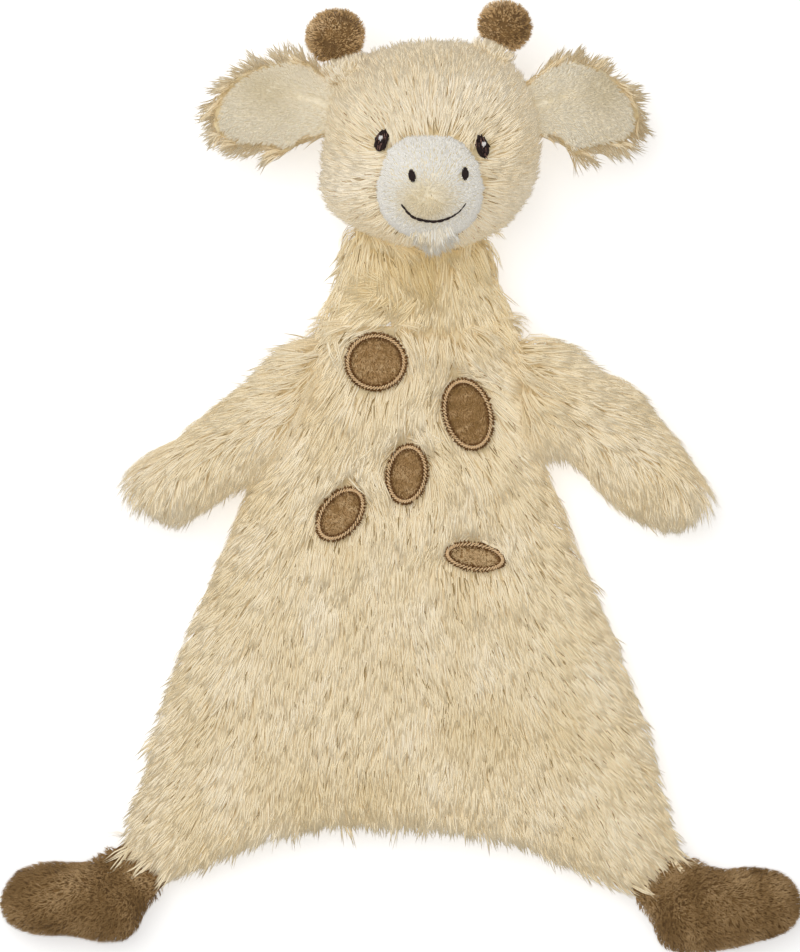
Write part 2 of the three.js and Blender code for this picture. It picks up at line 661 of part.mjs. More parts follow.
// A horn: its own frame has the middle of the stalk's round foot at the origin and the knob along +Y.
function buildHorn(head, where) {
  const { place, out } = headEdge(radians(hornPlaceDegrees[where]));
  const group = new THREE.Group();
  group.name = `horn_${where}`;
  const foot = place.add(out.multiplyScalar(stalkRadius + gap));
  group.position.set(foot.x, foot.y, 0);
  group.rotation.z = radians(hornLeanDegrees[where]) - Math.PI / 2;
  head.add(group);
  const [knobRadius, knobHalf, knobReach] = [knobRadii[where], knobHalfHeights[where], knobReaches[where]];
  const coreRadius = stalkTopRadius - hornWall;
  const opening = coreRadius + gap;
  const underKnob = (radius) => knobReach - knobHalf * rounded(radius / knobRadius, circlePower) - gap;
  const stalk = [];
  const shoulder = underKnob(stalkTopRadius);
  const footEnd = Math.acos(Math.max(0, -shoulder) / stalkRadius);
  for (const t of spread(Math.asin(opening / stalkRadius), footEnd, lathePointCount)) {
    stalk.push(new THREE.Vector2(stalkRadius * Math.sin(t), -stalkRadius * Math.cos(t)));
  }
  if (shoulder > 0) stalk.push(new THREE.Vector2(stalkTopRadius, shoulder));
  stalk.push(new THREE.Vector2(opening, underKnob(opening)));
  stalk.push(stalk[0].clone());
  const bulb = (radius, half, from, to) =>
    spread(from, to, lathePointCount).map((t) => {
      return new THREE.Vector2(Math.max(0, radius * Math.sin(t)), knobReach - half * Math.cos(t));
    });
  const [holeRadius, holeHalf] = [knobRadius - hornWall, knobHalf - hornWall];
  const knob = bulb(knobRadius, knobHalf, Math.asin(opening / knobRadius), Math.PI);
  knob.push(...bulb(holeRadius, holeHalf, Math.PI, Math.asin(opening / holeRadius)), knob[0].clone());
  const [coreBall, coreHalf] = [holeRadius - gap, holeHalf - gap];
  const coreFoot = stalkRadius * rounded(coreRadius / stalkRadius, circlePower) - gap;
  const core = [new THREE.Vector2(0, gap - stalkRadius), new THREE.Vector2(coreRadius, -coreFoot)];
  core.push(...bulb(coreBall, coreHalf, Math.asin(coreRadius / coreBall), Math.PI));
  addPiece(group, `horn_stalk_${where}`, turned(stalk), creamPlush);
  addPiece(group, `horn_knob_${where}`, turned(knob), brownPlush);
  addPiece(group, `horn_filling_${where}`, turned(core), wadding);
}

// The neck folds at the torso's top seam, and the head turns on the neck.
function buildNeckAndHead() {
  const frame = limbFrame("neck", [torsoPlace(-1, 0), torsoPlace(1, 0)], -1);
  const head = new THREE.Group();
  head.name = "head";
  head.position.set(headOffset, neckShownLength + headHalfLength, -headFloor - torsoThickness);
  frame.group.add(head);
  const sweepHalf = headHalfWidth + gap;
  const sweepSizes = new THREE.Vector3(sweepHalf, headHalfLength + gap, sweepHalf);
  const sweep = ball(sweepSizes, headRoundnessPower, headRingCount);
  sweep.translate(head.position.x, head.position.y, head.position.z);
  const shape = {
    upper: neckLeftShares,
    lower: neckRightShares,
    reach: neckReach,
    flip: 1,
    thickness: neckThickness,
    seamHeight: neckSeamHeight,
    swellShares: neckSwellShares,
  };
  buildLimb(["neck", ""], frame, shape, neckPile, solidOf(sweep));
  buildHead(head);
  buildMuzzle(head);
  buildEyes(head);
  for (const [where, side] of Object.entries(sides)) {
    buildEar(head, where, side);
    buildHorn(head, where);
  }
}

buildTorso();
buildArms();
buildFeet();
buildNeckAndHead();

// The part's origin is the middle of its box, at the level that it lies on.
toy.updateMatrixWorld(true);
const box = new THREE.Box3().setFromObject(toy, true);
const middle = box.getCenter(new THREE.Vector3());
toy.position.set(-middle.x, -middle.y, -box.min.z);

const lovey = new THREE.Group();
lovey.add(toy);
export default lovey;
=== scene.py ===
"""A flat plush comfort blanket in the shape of a small giraffe, lying on its back.

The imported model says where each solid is. This script sews skins over the soft solids, grows the
pile on them hair by hair, and stitches the eyes, the nostrils, the mouth and the borders of the spots.
"""
from __future__ import annotations

import json
import logging
import math
from collections.abc import Callable, Iterator
from contextlib import contextmanager
from dataclasses import dataclass, field, replace
from enum import Enum

import bmesh
import bpy
import numpy as np
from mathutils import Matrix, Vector
from mathutils.bvhtree import BVHTree

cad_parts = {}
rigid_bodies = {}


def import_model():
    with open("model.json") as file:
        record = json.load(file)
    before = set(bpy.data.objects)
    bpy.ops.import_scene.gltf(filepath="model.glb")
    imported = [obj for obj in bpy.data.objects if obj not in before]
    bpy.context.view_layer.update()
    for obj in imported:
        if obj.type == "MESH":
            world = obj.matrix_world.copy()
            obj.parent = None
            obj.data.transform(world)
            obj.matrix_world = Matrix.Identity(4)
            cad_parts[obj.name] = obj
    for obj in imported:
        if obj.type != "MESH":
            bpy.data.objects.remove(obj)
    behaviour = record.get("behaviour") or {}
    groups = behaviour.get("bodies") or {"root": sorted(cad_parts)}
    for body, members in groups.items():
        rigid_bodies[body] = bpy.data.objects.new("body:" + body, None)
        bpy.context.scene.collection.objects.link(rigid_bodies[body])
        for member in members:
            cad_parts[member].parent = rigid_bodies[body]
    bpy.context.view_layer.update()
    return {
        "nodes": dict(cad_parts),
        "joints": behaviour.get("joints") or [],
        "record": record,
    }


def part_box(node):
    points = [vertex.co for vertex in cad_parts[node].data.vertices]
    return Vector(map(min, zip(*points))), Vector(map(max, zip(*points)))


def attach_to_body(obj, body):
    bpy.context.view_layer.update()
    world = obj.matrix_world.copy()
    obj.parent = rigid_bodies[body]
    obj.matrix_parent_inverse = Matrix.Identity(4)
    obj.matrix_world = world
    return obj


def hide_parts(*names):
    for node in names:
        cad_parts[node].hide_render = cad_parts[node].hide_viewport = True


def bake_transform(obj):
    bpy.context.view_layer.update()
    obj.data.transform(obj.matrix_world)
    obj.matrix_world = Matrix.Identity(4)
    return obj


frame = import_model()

LOG = logging.getLogger("lovey")
MM = 0.001
UP = np.array([0.0, 0.0, 1.0])
SPOTS = range(1, 6)

# The map of a pile has each hair's tone across it and the way from root to tip along it.
PILE_MAP = "OFBake"
HAIR_MAP_WIDTH = 0.0016
# The tone of the thin dark hairs that are painted shade for the gaps between locks, and where their colour
# ends on the map.
GAP_SHADE_TONE = 0.04
GAP_SHADE_END = 0.08
LOWEST_TONE, HIGHEST_TONE = 0.12, 0.98

Points = np.ndarray
Colour = tuple[float, float, float, float]
Comb = Callable[[Points, Points], Points]
Attach = Callable[[bpy.types.Object], object]


class Slot(Enum):
    """The material slots that the record names."""

    LONG_PILE = "long_pile"
    TAN_PILE = "tan_pile"
    CREAM_PLUSH = "cream_plush"
    MUZZLE_PLUSH = "muzzle_plush"
    BROWN_PLUSH = "brown_plush"
    SPOT_PLUSH = "spot_plush"
    BORDER_THREAD = "border_thread"
    DARK_THREAD = "dark_thread"
    LIGHT_THREAD = "light_thread"


class Side(Enum):
    """The two sides of the toy, as a viewer who looks down at its face sees them."""

    LEFT = "left"
    RIGHT = "right"


def linear(code: str) -> Colour:
    """The linear colour of a hex code as it is seen on a screen.

    Args:
        code: six hex digits, such as "dfcda4".

    Returns:
        Red, green, blue and an opacity of 1.
    """
    shares = [int(code[i:i + 2], 16) / 255 for i in (0, 2, 4)]
    red, green, blue = (s / 12.92 if s <= 0.04045 else ((s + 0.055) / 1.055) ** 2.4 for s in shares)
    return red, green, blue, 1.0


class Value:
    """A number that varies over a material, which a plain number can be added to or multiply."""

    def __init__(self, sheet: Sheet, socket: bpy.types.NodeSocket) -> None:
        """Wraps a socket of a sheet's node tree."""
        self.sheet = sheet
        self.socket = socket

    def maths(self, operation: str, other: Value | float) -> Value:
        """A Math node on this value and another."""
        return self.sheet.value("ShaderNodeMath", {"operation": operation}, {0: self, 1: other})

    def __radd__(self, other: float) -> Value:
        """A number plus this value."""
        return self.maths("ADD", other)

    def __rmul__(self, other: float) -> Value:
        """A number times this value."""
        return self.maths("MULTIPLY", other)

    def step(self, low: float, high: float) -> Value:
        """This value as a smooth step from 0 at low to 1 at high."""
        settings = {"interpolation_type": "SMOOTHSTEP"}
        return self.sheet.value("ShaderNodeMapRange", settings, {0: self, 1: low, 2: high, 3: 0.0, 4: 1.0})


class Sheet:
    """The node tree of a material or of the world, written one node at a time."""

    def __init__(self, owner: bpy.types.Material | bpy.types.World) -> None:
        """Empties the node tree of a material or world."""
        owner.use_nodes = True
        owner.node_tree.nodes.clear()
        self.owner = owner

    def node(
        self,
        kind: str,
        settings: dict[str, object] | None = None,
        inputs: dict[str | int, object] | None = None,
    ) -> bpy.types.Node:
        """Adds a node.

        Args:
            kind: the node's type.
            settings: its properties, set first; "stops" gives a ramp's places and colours.
            inputs: the values or links of its sockets, by name or number.

        Returns:
            The node.
        """
        node = self.owner.node_tree.nodes.new(kind)
        for key, setting in (settings or {}).items():
            if key == "stops":
                self.set_stops(node.color_ramp.elements, setting)
            else:
                setattr(node, key, setting)
        for key, given in (inputs or {}).items():
            socket = node.inputs[key]
            if isinstance(given, Value):
                self.owner.node_tree.links.new(given.socket, socket)
            elif isinstance(given, bpy.types.NodeSocket):
                self.owner.node_tree.links.new(given, socket)
            else:
                socket.default_value = given
        return node

    @staticmethod
    def set_stops(elements: bpy.types.ColorRampElements, stops: list[tuple[float, Colour]]) -> None:
        """Gives a ramp its places and colours."""
        while len(elements) > 1:
            elements.remove(elements[-1])
        elements[0].position, elements[0].color = stops[0]
        for place, colour in stops[1:]:
            elements.new(place).color = colour

    def value(self, kind: str, settings: dict[str, object], inputs: dict[str | int, object]) -> Value:
        """Adds a node and gives its first output as a value."""
        return Value(self, self.node(kind, settings, inputs).outputs[0])

    def ramp(self, value: Value, stops: list[tuple[float, Colour]]) -> bpy.types.NodeSocket:
        """The colour of a value on a ramp."""
        return self.node("ShaderNodeValToRGB", {"stops": stops}, {0: value}).outputs[0]

    def mix(
        self, share: Value | float, first: object, second: object, blend: str = "MIX"
    ) -> bpy.types.NodeSocket:
        """A mix of two colours.

        Args:
            share: how much of the second there is.
            first: a colour or a link to one.
            second: a colour or a link to one.
            blend: the way that they mix.

        Returns:
            The mixed colour.
        """
        settings = {"data_type": "RGBA", "blend_type": blend}
        return self.node("ShaderNodeMix", settings, {0: share, 6: first, 7: second}).outputs[2]

    def noise(self, size: float, detail: float) -> Value:
        """A noise over the piece whose patches are about size metres wide."""
        coordinates = self.node("ShaderNodeTexCoord").outputs["Object"]
        inputs = {"Vector": coordinates, "Scale": 1 / size, "Detail": detail}
        return self.value("ShaderNodeTexNoise", {}, inputs)

    def seen(self) -> Value:
        """1 for rays from the camera, and for those that leave glossy or clear things, 0 for others."""
        path = self.node("ShaderNodeLightPath")
        seen = Value(self, path.outputs["Is Camera Ray"])
        for name in ("Is Glossy Ray", "Is Transmission Ray"):
            seen = seen.maths("MAXIMUM", Value(self, path.outputs[name]))
        return seen

    def cloth(self, inputs: dict[str | int, object]) -> bpy.types.Material:
        """Ends a material's sheet with the shader of a dull cloth.

        Args:
            inputs: the sockets of the shader.

        Returns:
            The material.
        """
        shader = self.node("ShaderNodeBsdfPrincipled", {}, inputs)
        self.node("ShaderNodeOutputMaterial", {}, {"Surface": shader.outputs[0]})
        return self.owner


@dataclass(frozen=True)
class PileFinish:
    """The colours of a pile: darker at its roots, which is painted shade deep in the pile, and from shaded to
    light by the tone of each hair.

    The slit colour is painted shade: that of the few thin dark gaps between locks, which it gives to thin
    dark hairs.
    """

    name: str
    # The root colour is painted shade deep in the pile; root_end is how far up each hair it reaches.
    root: str
    shaded: str
    middle: str
    light: str
    rough: float = 0.75
    sheen: float = 0.06
    root_end: float = 0.4
    # How strongly each hair glows, which is painted light.
    painted_glow: float = 0.3
    # The colour of the thin dark hairs, painted shade for the gaps between locks.
    gap_shade: str = "927a4c"

    def material(self) -> bpy.types.Material:
        """The material, whose colour follows each hair from root to tip."""
        sheet = Sheet(bpy.data.materials.new(self.name))
        places = sheet.node("ShaderNodeUVMap", {"uv_map": PILE_MAP}).outputs[0]
        parts = sheet.node("ShaderNodeSeparateXYZ", {}, {0: places})
        tone, along = (Value(sheet, parts.outputs[i]) for i in (0, 1))
        stops = [
            (0.0, linear(self.gap_shade)), (GAP_SHADE_END, linear(self.gap_shade)), (0.1, linear(self.shaded)),
            (0.5, linear(self.middle)), (1.0, linear(self.light)),
        ]
        # Painted shade: each hair is darker toward its root.
        colour = sheet.mix(along.step(-0.1, self.root_end), linear(self.root), sheet.ramp(tone, stops))
        return sheet.cloth({
            "Base Color": colour,
            "Roughness": self.rough,
            "Sheen Weight": self.sheen,
            "Sheen Roughness": 0.5,
            "Sheen Tint": linear(self.light),
            "Specular IOR Level": 0.15,
            # Painted light: each hair glows a little in its own colour, deepened, which lightens the shade in
            # the pile.
            "Emission Color": sheet.mix(0.4, colour, colour, "MULTIPLY"),
            "Emission Strength": self.painted_glow,
        })


@dataclass(frozen=True)
class BackingFinish:
    """The knitted backing that a pile grows from, which shows only between its locks."""

    name: str
    dark: str
    light: str
    patch: float = 2.5 * MM
    # How strongly the backing glows, which is painted light.
    painted_glow: float = 0.2

    def material(self) -> bpy.types.Material:
        """The material, mottled and with fine loops."""
        sheet = Sheet(bpy.data.materials.new(self.name))
        mottling = sheet.noise(self.patch, 4.0)
        loops = sheet.noise(0.4 * MM, 2.0)
        colour = sheet.mix(mottling.step(0.35, 0.65), linear(self.dark), linear(self.light))
        bump = sheet.node("ShaderNodeBump", {}, {"Strength": 0.5, "Distance": 0.2 * MM, "Height": loops})
        return sheet.cloth({
            "Base Color": colour,
            "Roughness": 0.85 + 0.1 * loops,
            "Sheen Weight": 0.2,
            "Specular IOR Level": 0.2,
            # Painted light: the backing glows a little, which lightens the shade between the locks.
            "Emission Color": colour,
            "Emission Strength": self.painted_glow,
            "Normal": bump.outputs[0],
        })


@dataclass(frozen=True)
class ThreadFinish:
    """A twisted embroidery thread, with a soft shine and darker fibres that are painted shade in the grooves
    of its twist.
    """

    name: str
    body: str
    # The twist colour is painted shade in the grooves of the thread.
    twist: str
    rough: float = 0.45

    def material(self) -> bpy.types.Material:
        """The material, with fine fibres."""
        sheet = Sheet(bpy.data.materials.new(self.name))
        fibres = sheet.noise(0.22 * MM, 3.0)
        # Painted shade: darker fibres in patches, for the grooves of the twist.
        colour = sheet.mix(fibres.step(0.35, 0.6), linear(self.twist), linear(self.body))
        bump = sheet.node("ShaderNodeBump", {}, {"Strength": 0.4, "Distance": 0.05 * MM, "Height": fibres})
        return sheet.cloth({
            "Base Color": colour,
            "Roughness": self.rough + 0.2 * fibres,
            "Specular IOR Level": 0.2,
            "Normal": bump.outputs[0],
        })


Finish = PileFinish | BackingFinish | ThreadFinish


class Finishes:
    """Every finish of the toy, each made once and shared."""

    LONG = PileFinish("long cream pile", "dcc8a0", "dfcea9", "e9dbbd", "f3ebda")
    NECK = PileFinish("neck pile", "d9c494", "dac596", "eadbb9", "f4ebd8")
    TAN = PileFinish("long tan pile", "ccb68c", "d8c197", "e8d8b8", "f5ebd6")
    CREAM = PileFinish("short cream plush", "dbd0b6", "cfc19f", "e3d9c3", "f1ebdc", root_end=0.8)
    WHITE = PileFinish("short white plush", "e6e0d2", "dccdab", "ece9e2", "f8f7f4", root_end=0.8)
    FACE = PileFinish("face pile", "dfcda6", "e3d3b2", "ece0c7", "f6efe1")
    KNOB = PileFinish("knob plush", "8c6e46", "a68556", "d4b485", "f2d9b2", root_end=0.9)
    BROWN = PileFinish("short brown plush", "6c5332", "80643e", "9f8158", "c6a97f", root_end=0.9)
    SPOT = PileFinish("spot plush", "8a6c43", "997849", "bf9d70", "dcc298", root_end=0.9)
    FRINGE = PileFinish("dark fringe", "573a1e", "664727", "7e5a34", "99734a", root_end=0.9, painted_glow=0.08)
    BACKING = BackingFinish("cream backing", "d2bf96", "dfceaa")
    TAN_BACKING = BackingFinish("tan backing", "c8b48a", "d8c8a2")
    PALE_BACKING = BackingFinish("pale backing", "d9cdb0", "e8dfc9")
    BROWN_BACKING = BackingFinish("brown backing", "654c2d", "7c5f39")
    SPOT_BACKING = BackingFinish("spot backing", "866840", "9c7b50")
    DARK_THREAD = ThreadFinish("dark thread", "26120f", "0d0605")
    # Paler threads that are painted highlights on the dark eye thread.
    SLIVER_THREAD = ThreadFinish("sliver thread", "8a6a60", "4a2c26")
    LIGHT_THREAD = ThreadFinish("light thread", "f6f3f2", "d9d3d2")
    TAN_THREAD = ThreadFinish("tan thread", "f0d2a8", "c39a6a")

    _made: dict[str, bpy.types.Material] = {}

    @classmethod
    def of(cls, finish: Finish) -> bpy.types.Material:
        """The material of a finish, made when it is first asked for."""
        if finish.name not in cls._made:
            cls._made[finish.name] = finish.material()
        return cls._made[finish.name]


@contextmanager
def editing(piece: bpy.types.Object) -> Iterator[None]:
    """Edit mode on one piece, with nothing of it selected."""
    bpy.ops.object.select_all(action="DESELECT")
    bpy.context.view_layer.objects.active = piece
    piece.select_set(True)
    bpy.ops.object.mode_set(mode="EDIT")
    bpy.ops.mesh.select_all(action="DESELECT")
    try:
        yield
    finally:
        bpy.ops.object.mode_set(mode="OBJECT")


def apply_modifier(piece: bpy.types.Object, kind: str, **settings: object) -> None:
    """Adds a modifier to a piece and applies it.

    Args:
        piece: the piece.
        kind: the modifier's type.
        settings: its properties.
    """
    modifier = piece.modifiers.new(kind.lower(), kind)
    for key, setting in settings.items():
        setattr(modifier, key, setting)
    bpy.ops.object.select_all(action="DESELECT")
    bpy.context.view_layer.objects.active = piece
    piece.select_set(True)
    bpy.ops.object.modifier_apply(modifier=modifier.name)


def add_piece(name: str, mesh: bpy.types.Mesh) -> bpy.types.Object:
    """Puts a mesh in the scene as a piece."""
    piece = bpy.data.objects.new(name, mesh)
    bpy.context.scene.collection.objects.link(piece)
    return piece


def places(piece: bpy.types.Object) -> Points:
    """The points of a piece's mesh, one row each."""
    flat = np.empty(len(piece.data.vertices) * 3)
    piece.data.vertices.foreach_get("co", flat)
    return flat.reshape(-1, 3)


def set_places(piece: bpy.types.Object, points: Points) -> None:
    """Moves the points of a piece's mesh."""
    piece.data.vertices.foreach_set("co", points.ravel())
    piece.data.update()


def facings(piece: bpy.types.Object) -> Points:
    """The normals at the points of a piece's mesh, one row each."""
    flat = np.empty(len(piece.data.vertices) * 3)
    piece.data.vertex_normals.foreach_get("vector", flat)
    return flat.reshape(-1, 3)


def unit(vectors: Points) -> Points:
    """Vectors of length one, row by row."""
    return vectors / np.maximum(np.linalg.norm(vectors, axis=-1, keepdims=True), 1e-12)


def smooth_share(values: Points) -> Points:
    """A smooth step from 0 to 1."""
    held = np.clip(values, 0, 1)
    return held * held * (3 - 2 * held)


def ripples(points: Points, size: float, seed: int) -> np.ndarray:
    """Smooth noise over a surface.

    Args:
        points: where.
        size: the width of a wave.
        seed: which noise.

    Returns:
        A number from about -1 to 1 for each point.
    """
    rng = np.random.default_rng(seed)
    waves = 7
    turns = unit(rng.normal(size=(waves, 3))) * (2 * math.pi / size) * rng.uniform(0.6, 1.6, (waves, 1))
    return np.sin(points @ turns.T + rng.uniform(0, 2 * math.pi, waves)).sum(1) / math.sqrt(waves)


def bump(*spans: tuple[np.ndarray, float, float]) -> np.ndarray:
    """A smooth bump over one or two measures.

    Args:
        spans: each measure of the points, with the bump's middle and width in it.

    Returns:
        A share for each point, 1 in the middle and 0 far from it.
    """
    return np.exp(-sum(((values - middle) / wide) ** 2 for values, middle, wide in spans))


def finish_piece(
    piece: bpy.types.Object,
    finish: Finish,
    attach: Attach,
    stands_for: tuple[str, ...] = (),
) -> None:
    """Gives a piece its material, what carries it and the solids that it stands for.

    Args:
        piece: the piece, with its place in its mesh.
        finish: what its material is made from.
        attach: what makes it ride on a body, or at a seam only bakes its place into its mesh.
        stands_for: the solids that it replaces.
    """
    piece.data.materials.clear()
    piece.data.materials.append(Finishes.of(finish))
    if PILE_MAP not in piece.data.uv_layers:
        piece.data.shade_smooth()
    attach(piece)
    if stands_for:
        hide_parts(*stands_for)
    LOG.info("%s: %d faces", piece.name, len(piece.data.polygons))


def riding(body: str) -> Attach:
    """What makes a piece ride on a body."""
    return lambda piece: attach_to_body(piece, body)


def body_box(body: str) -> tuple[Points, Points]:
    """The lowest and highest corner of all the solids of a body."""
    corners = [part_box(node) for node in frame["record"]["behaviour"]["bodies"][body]]
    lows, highs = zip(*corners)
    return np.min(lows, axis=0), np.max(highs, axis=0)


@dataclass(frozen=True)
class Fold:
    """A seam that bends: what carries it, what it carries, its line and the way out."""

    parent: str
    child: str
    pivot: Points
    outward: Points
    along: Points

    @classmethod
    def of(cls, name: str) -> Fold:
        """The fold of a joint of the record."""
        joint = next(j for j in frame["joints"] if j["name"] == name)
        pivot, axis = np.array(joint["pos_m"]), unit(np.array(joint["axis"], float))
        middle = np.mean(body_box(joint["child"]), axis=0)
        out = np.cross(axis, UP)
        out = out * np.sign(out @ (middle - pivot))
        return cls(joint["parent"], joint["child"], pivot, unit(out), unit((middle - pivot) * [1, 1, 0]))

    def reach(self, points: Points) -> np.ndarray:
        """How far points lie out from the seam."""
        return (points - self.pivot) @ self.outward

    @property
    def upward(self) -> Points:
        """The way along the seam that leads up the picture."""
        across = unit(np.cross(UP, self.outward))
        return across * np.sign(across[1])

    def beside(self, points: Points) -> np.ndarray:
        """How far points lie from the middle of the seam, along it and up the picture."""
        return (points - self.pivot) @ self.upward

    def bending(self, before: float, after: float) -> Attach:
        """What attaches a piece at the seam: it only bakes the piece's place into its mesh and does not bend
        it.

        Args:
            before: how far inside the seam the bend would start; not used.
            after: how far outside it would end; not used.

        Returns:
            The call that attaches a piece.
        """
        return lambda piece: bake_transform(piece)


@dataclass(frozen=True)
class Sewing:
    """How a stuffed skin is made over solids.

    Attributes:
        inset: how far it lies inside them.
        overhang: how much farther in it lies where the pile points off its edge.
        voxel: the grain of its mesh.
        rounds: how often it is smoothed, before the inset and again after it.
        levels: how often its mesh is divided at the end.
    """

    inset: float
    overhang: float = 0.0
    voxel: float = 2.2 * MM
    rounds: int = 6
    levels: int = 0

    def skin(self, name: str, nodes: tuple[str, ...], comb: Comb | None = None) -> bpy.types.Object:
        """A closed skin over solids, drawn in under the pile.

        Args:
            name: the piece's name.
            nodes: the solids that it covers.
            comb: which way the pile lies, for an edge that it hangs over.

        Returns:
            The skin, with no material yet.
        """
        joined = bmesh.new()
        for node in nodes:
            joined.from_mesh(frame["nodes"][node].data)
        bmesh.ops.remove_doubles(joined, verts=joined.verts, dist=0.001 * MM)
        mesh = bpy.data.meshes.new(name)
        joined.to_mesh(mesh)
        joined.free()
        piece = add_piece(name, mesh)
        apply_modifier(piece, "REMESH", mode="VOXEL", voxel_size=self.voxel)
        self.drop_hollows(piece)
        apply_modifier(piece, "SMOOTH", factor=0.5, iterations=self.rounds)
        apply_modifier(piece, "DISPLACE", strength=-self.inset, mid_level=0.0, direction="NORMAL")
        if comb is not None:
            points, normals = places(piece), facings(piece)
            over = np.clip((unit(comb(points, normals)) * normals).sum(1), 0, 1)
            set_places(piece, points - (self.overhang * over)[:, None] * normals)
        apply_modifier(piece, "SMOOTH", factor=0.5, iterations=self.rounds)
        if self.levels:
            apply_modifier(piece, "SUBSURF", levels=self.levels, render_levels=self.levels)
        return piece

    @staticmethod
    def drop_hollows(piece: bpy.types.Object) -> None:
        """Removes closed hollows inside a skin, which the wadding fills."""
        points = places(piece)
        top = int(points[:, 2].argmax())
        with editing(piece):
            bpy.ops.object.mode_set(mode="OBJECT")
            piece.data.vertices[top].select = True
            bpy.ops.object.mode_set(mode="EDIT")
            bpy.ops.mesh.select_linked()
            bpy.ops.mesh.select_all(action="INVERT")
            bpy.ops.mesh.delete(type="VERT")


def reach_in(piece: bpy.types.Object, seam: Points, outward: Points, depth: float, span: float) -> None:
    """Draws the sewn end of a skin into what carries it.

    Args:
        piece: the skin.
        seam: a point on the seam.
        outward: the way out from it.
        depth: how far the end is drawn in.
        span: how far out from the seam the skin stretches for it.
    """
    points = places(piece)
    out = (points - seam) @ outward
    pull = depth * (1 - smooth_share(out / span))
    set_places(piece, points - pull[:, None] * outward)


@dataclass(frozen=True)
class Oval:
    """An oval outline on the front, seen from above: its centre, its half sizes and its turn."""

    centre: Points
    half: Points
    axes: Points
    top: float

    @classmethod
    def of(cls, node: str) -> Oval:
        """The outline of a solid, from its points."""
        flat = np.unique(np.round([v.co[:] for v in frame["nodes"][node].data.vertices], 6), axis=0)
        low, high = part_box(node)
        _, axes = np.linalg.eigh(np.cov(flat[:, :2].T))
        axes[:, 1] *= np.sign(np.linalg.det(axes))
        along = (flat[:, :2] - flat[:, :2].mean(0)) @ axes
        middle = (along.max(0) + along.min(0)) / 2
        centre = flat[:, :2].mean(0) + axes @ middle
        return cls(centre, (along.max(0) - along.min(0)) / 2, axes.T, high[2])

    @property
    def perimeter(self) -> float:
        """About how long the outline is."""
        return 2 * math.pi * math.sqrt((self.half ** 2).mean())

    def share(self, points: Points) -> np.ndarray:
        """How far out points lie, 1 on the outline."""
        local = (points[..., :2] - self.centre) @ self.axes.T
        return np.linalg.norm(local / self.half, axis=-1)

    def grown(self, margin: float) -> Oval:
        """The oval with a margin round it."""
        return Oval(self.centre, self.half + margin, self.axes, self.top)

    def at(self, turn_share: float, scale: float = 1.0) -> Points:
        """A place on the outline, a share of a turn round it."""
        angle = 2 * math.pi * turn_share
        local = self.half * scale * np.array([math.cos(angle), math.sin(angle)])
        return self.centre + local @ self.axes


@dataclass(frozen=True)
class Profile:
    """The sections of a hair from root to tip: their places, how high and far on they are, how thick."""

    places: tuple[float, ...]
    rise: tuple[float, ...]
    run: tuple[float, ...]
    girth: tuple[float, ...]
    thickness: float = 0.3

    def template(self) -> tuple[list[list[int]], Points]:
        """The faces of one hair, and the place of each of its points on its map."""
        rings = len(self.places) - 1
        faces = [[0, 2, 1]]
        for ring in range(0, 3 * (rings - 1), 3):
            for side in range(3):
                after = (side + 1) % 3
                faces.append([ring + side, ring + after, ring + 3 + after, ring + 3 + side])
        last = 3 * (rings - 1)
        faces += [[last + side, last + (side + 1) % 3, 3 * rings] for side in range(3)]
        shares = [(side, along) for along in self.places[:-1] for side in (-1, 1, 0)] + [(0, 1.0)]
        return faces, np.array(shares)


LONG_HAIR = Profile((0.0, 0.33, 0.68, 1.0), (0.0, 0.78, 1.0, 0.8), (0.0, 0.26, 0.63, 1.0), (0.85, 1.0, 0.9))
SHORT_HAIR = Profile((0.0, 0.55, 1.0), (0.0, 0.85, 1.0), (0.0, 0.45, 1.0), (0.9, 1.0))


@dataclass(frozen=True)
class Coat:
    """How a pile lies: the sizes of its hairs and how they gather in locks.

    Attributes:
        length: how long a lock is.
        height: how far it stands off the cloth.
        width: how wide a hair is.
        spacing: how far apart the locks are.
        hairs: how many hairs a lock has.
        gather: how far the hairs of a lock draw together at its tip.
        lock_stray: how far a lock strays from the comb, in degrees.
        hair_stray: how far a hair strays from its lock, in degrees.
        length_spread: how much the locks differ in length.
        edge_trim: how much shorter a lock is that points off the cloth.
        curl: how far a hair bows, as a share of its length.
        sink: how deep the roots go.
        tone_spread: how much the hairs differ in tone.
        gap_shades: the share of thin dark hairs, which are painted shade for the gaps between locks.
        profile: the sections of a hair.
        most_hairs: the most hairs in one piece.
    """

    length: float
    height: float
    width: float
    spacing: float
    hairs: int
    gather: float = 0.6
    lock_stray: float = 12.0
    hair_stray: float = 7.0
    length_spread: float = 0.08
    edge_trim: float = 0.4
    curl: float = 0.05
    sink: float = 0.4 * MM
    tone_spread: float = 0.08
    gap_shades: float = 0.0
    profile: Profile = LONG_HAIR
    most_hairs: int = 12000


LONG_COAT = Coat(
    length=13 * MM, height=2.6 * MM, width=0.48 * MM, spacing=1.85 * MM, hairs=6,
    gather=0.55, lock_stray=7, hair_stray=4, edge_trim=0.5, tone_spread=0.06, gap_shades=0.05,
)
NECK_COAT = replace(LONG_COAT, length=14.5 * MM, length_spread=0.22, gather=0.7)
FACE_COAT = replace(
    LONG_COAT, length=12 * MM, height=2.2 * MM, width=0.45 * MM, spacing=1.7 * MM,
    gather=0.6, edge_trim=0.3, gap_shades=0.08,
)
CHIN_COAT = Coat(
    length=6.2 * MM, height=1.2 * MM, width=0.4 * MM, spacing=1.5 * MM, hairs=6,
    gather=0.85, lock_stray=15, length_spread=0.2, edge_trim=0.1,
)
EAR_COAT = Coat(
    length=7.5 * MM, height=2.0 * MM, width=0.4 * MM, spacing=1.25 * MM, hairs=6,
    gather=0.6, edge_trim=0.35,
)
STALK_COAT = Coat(
    length=4.2 * MM, height=1.8 * MM, width=0.42 * MM, spacing=1.2 * MM, hairs=4, lock_stray=10,
)
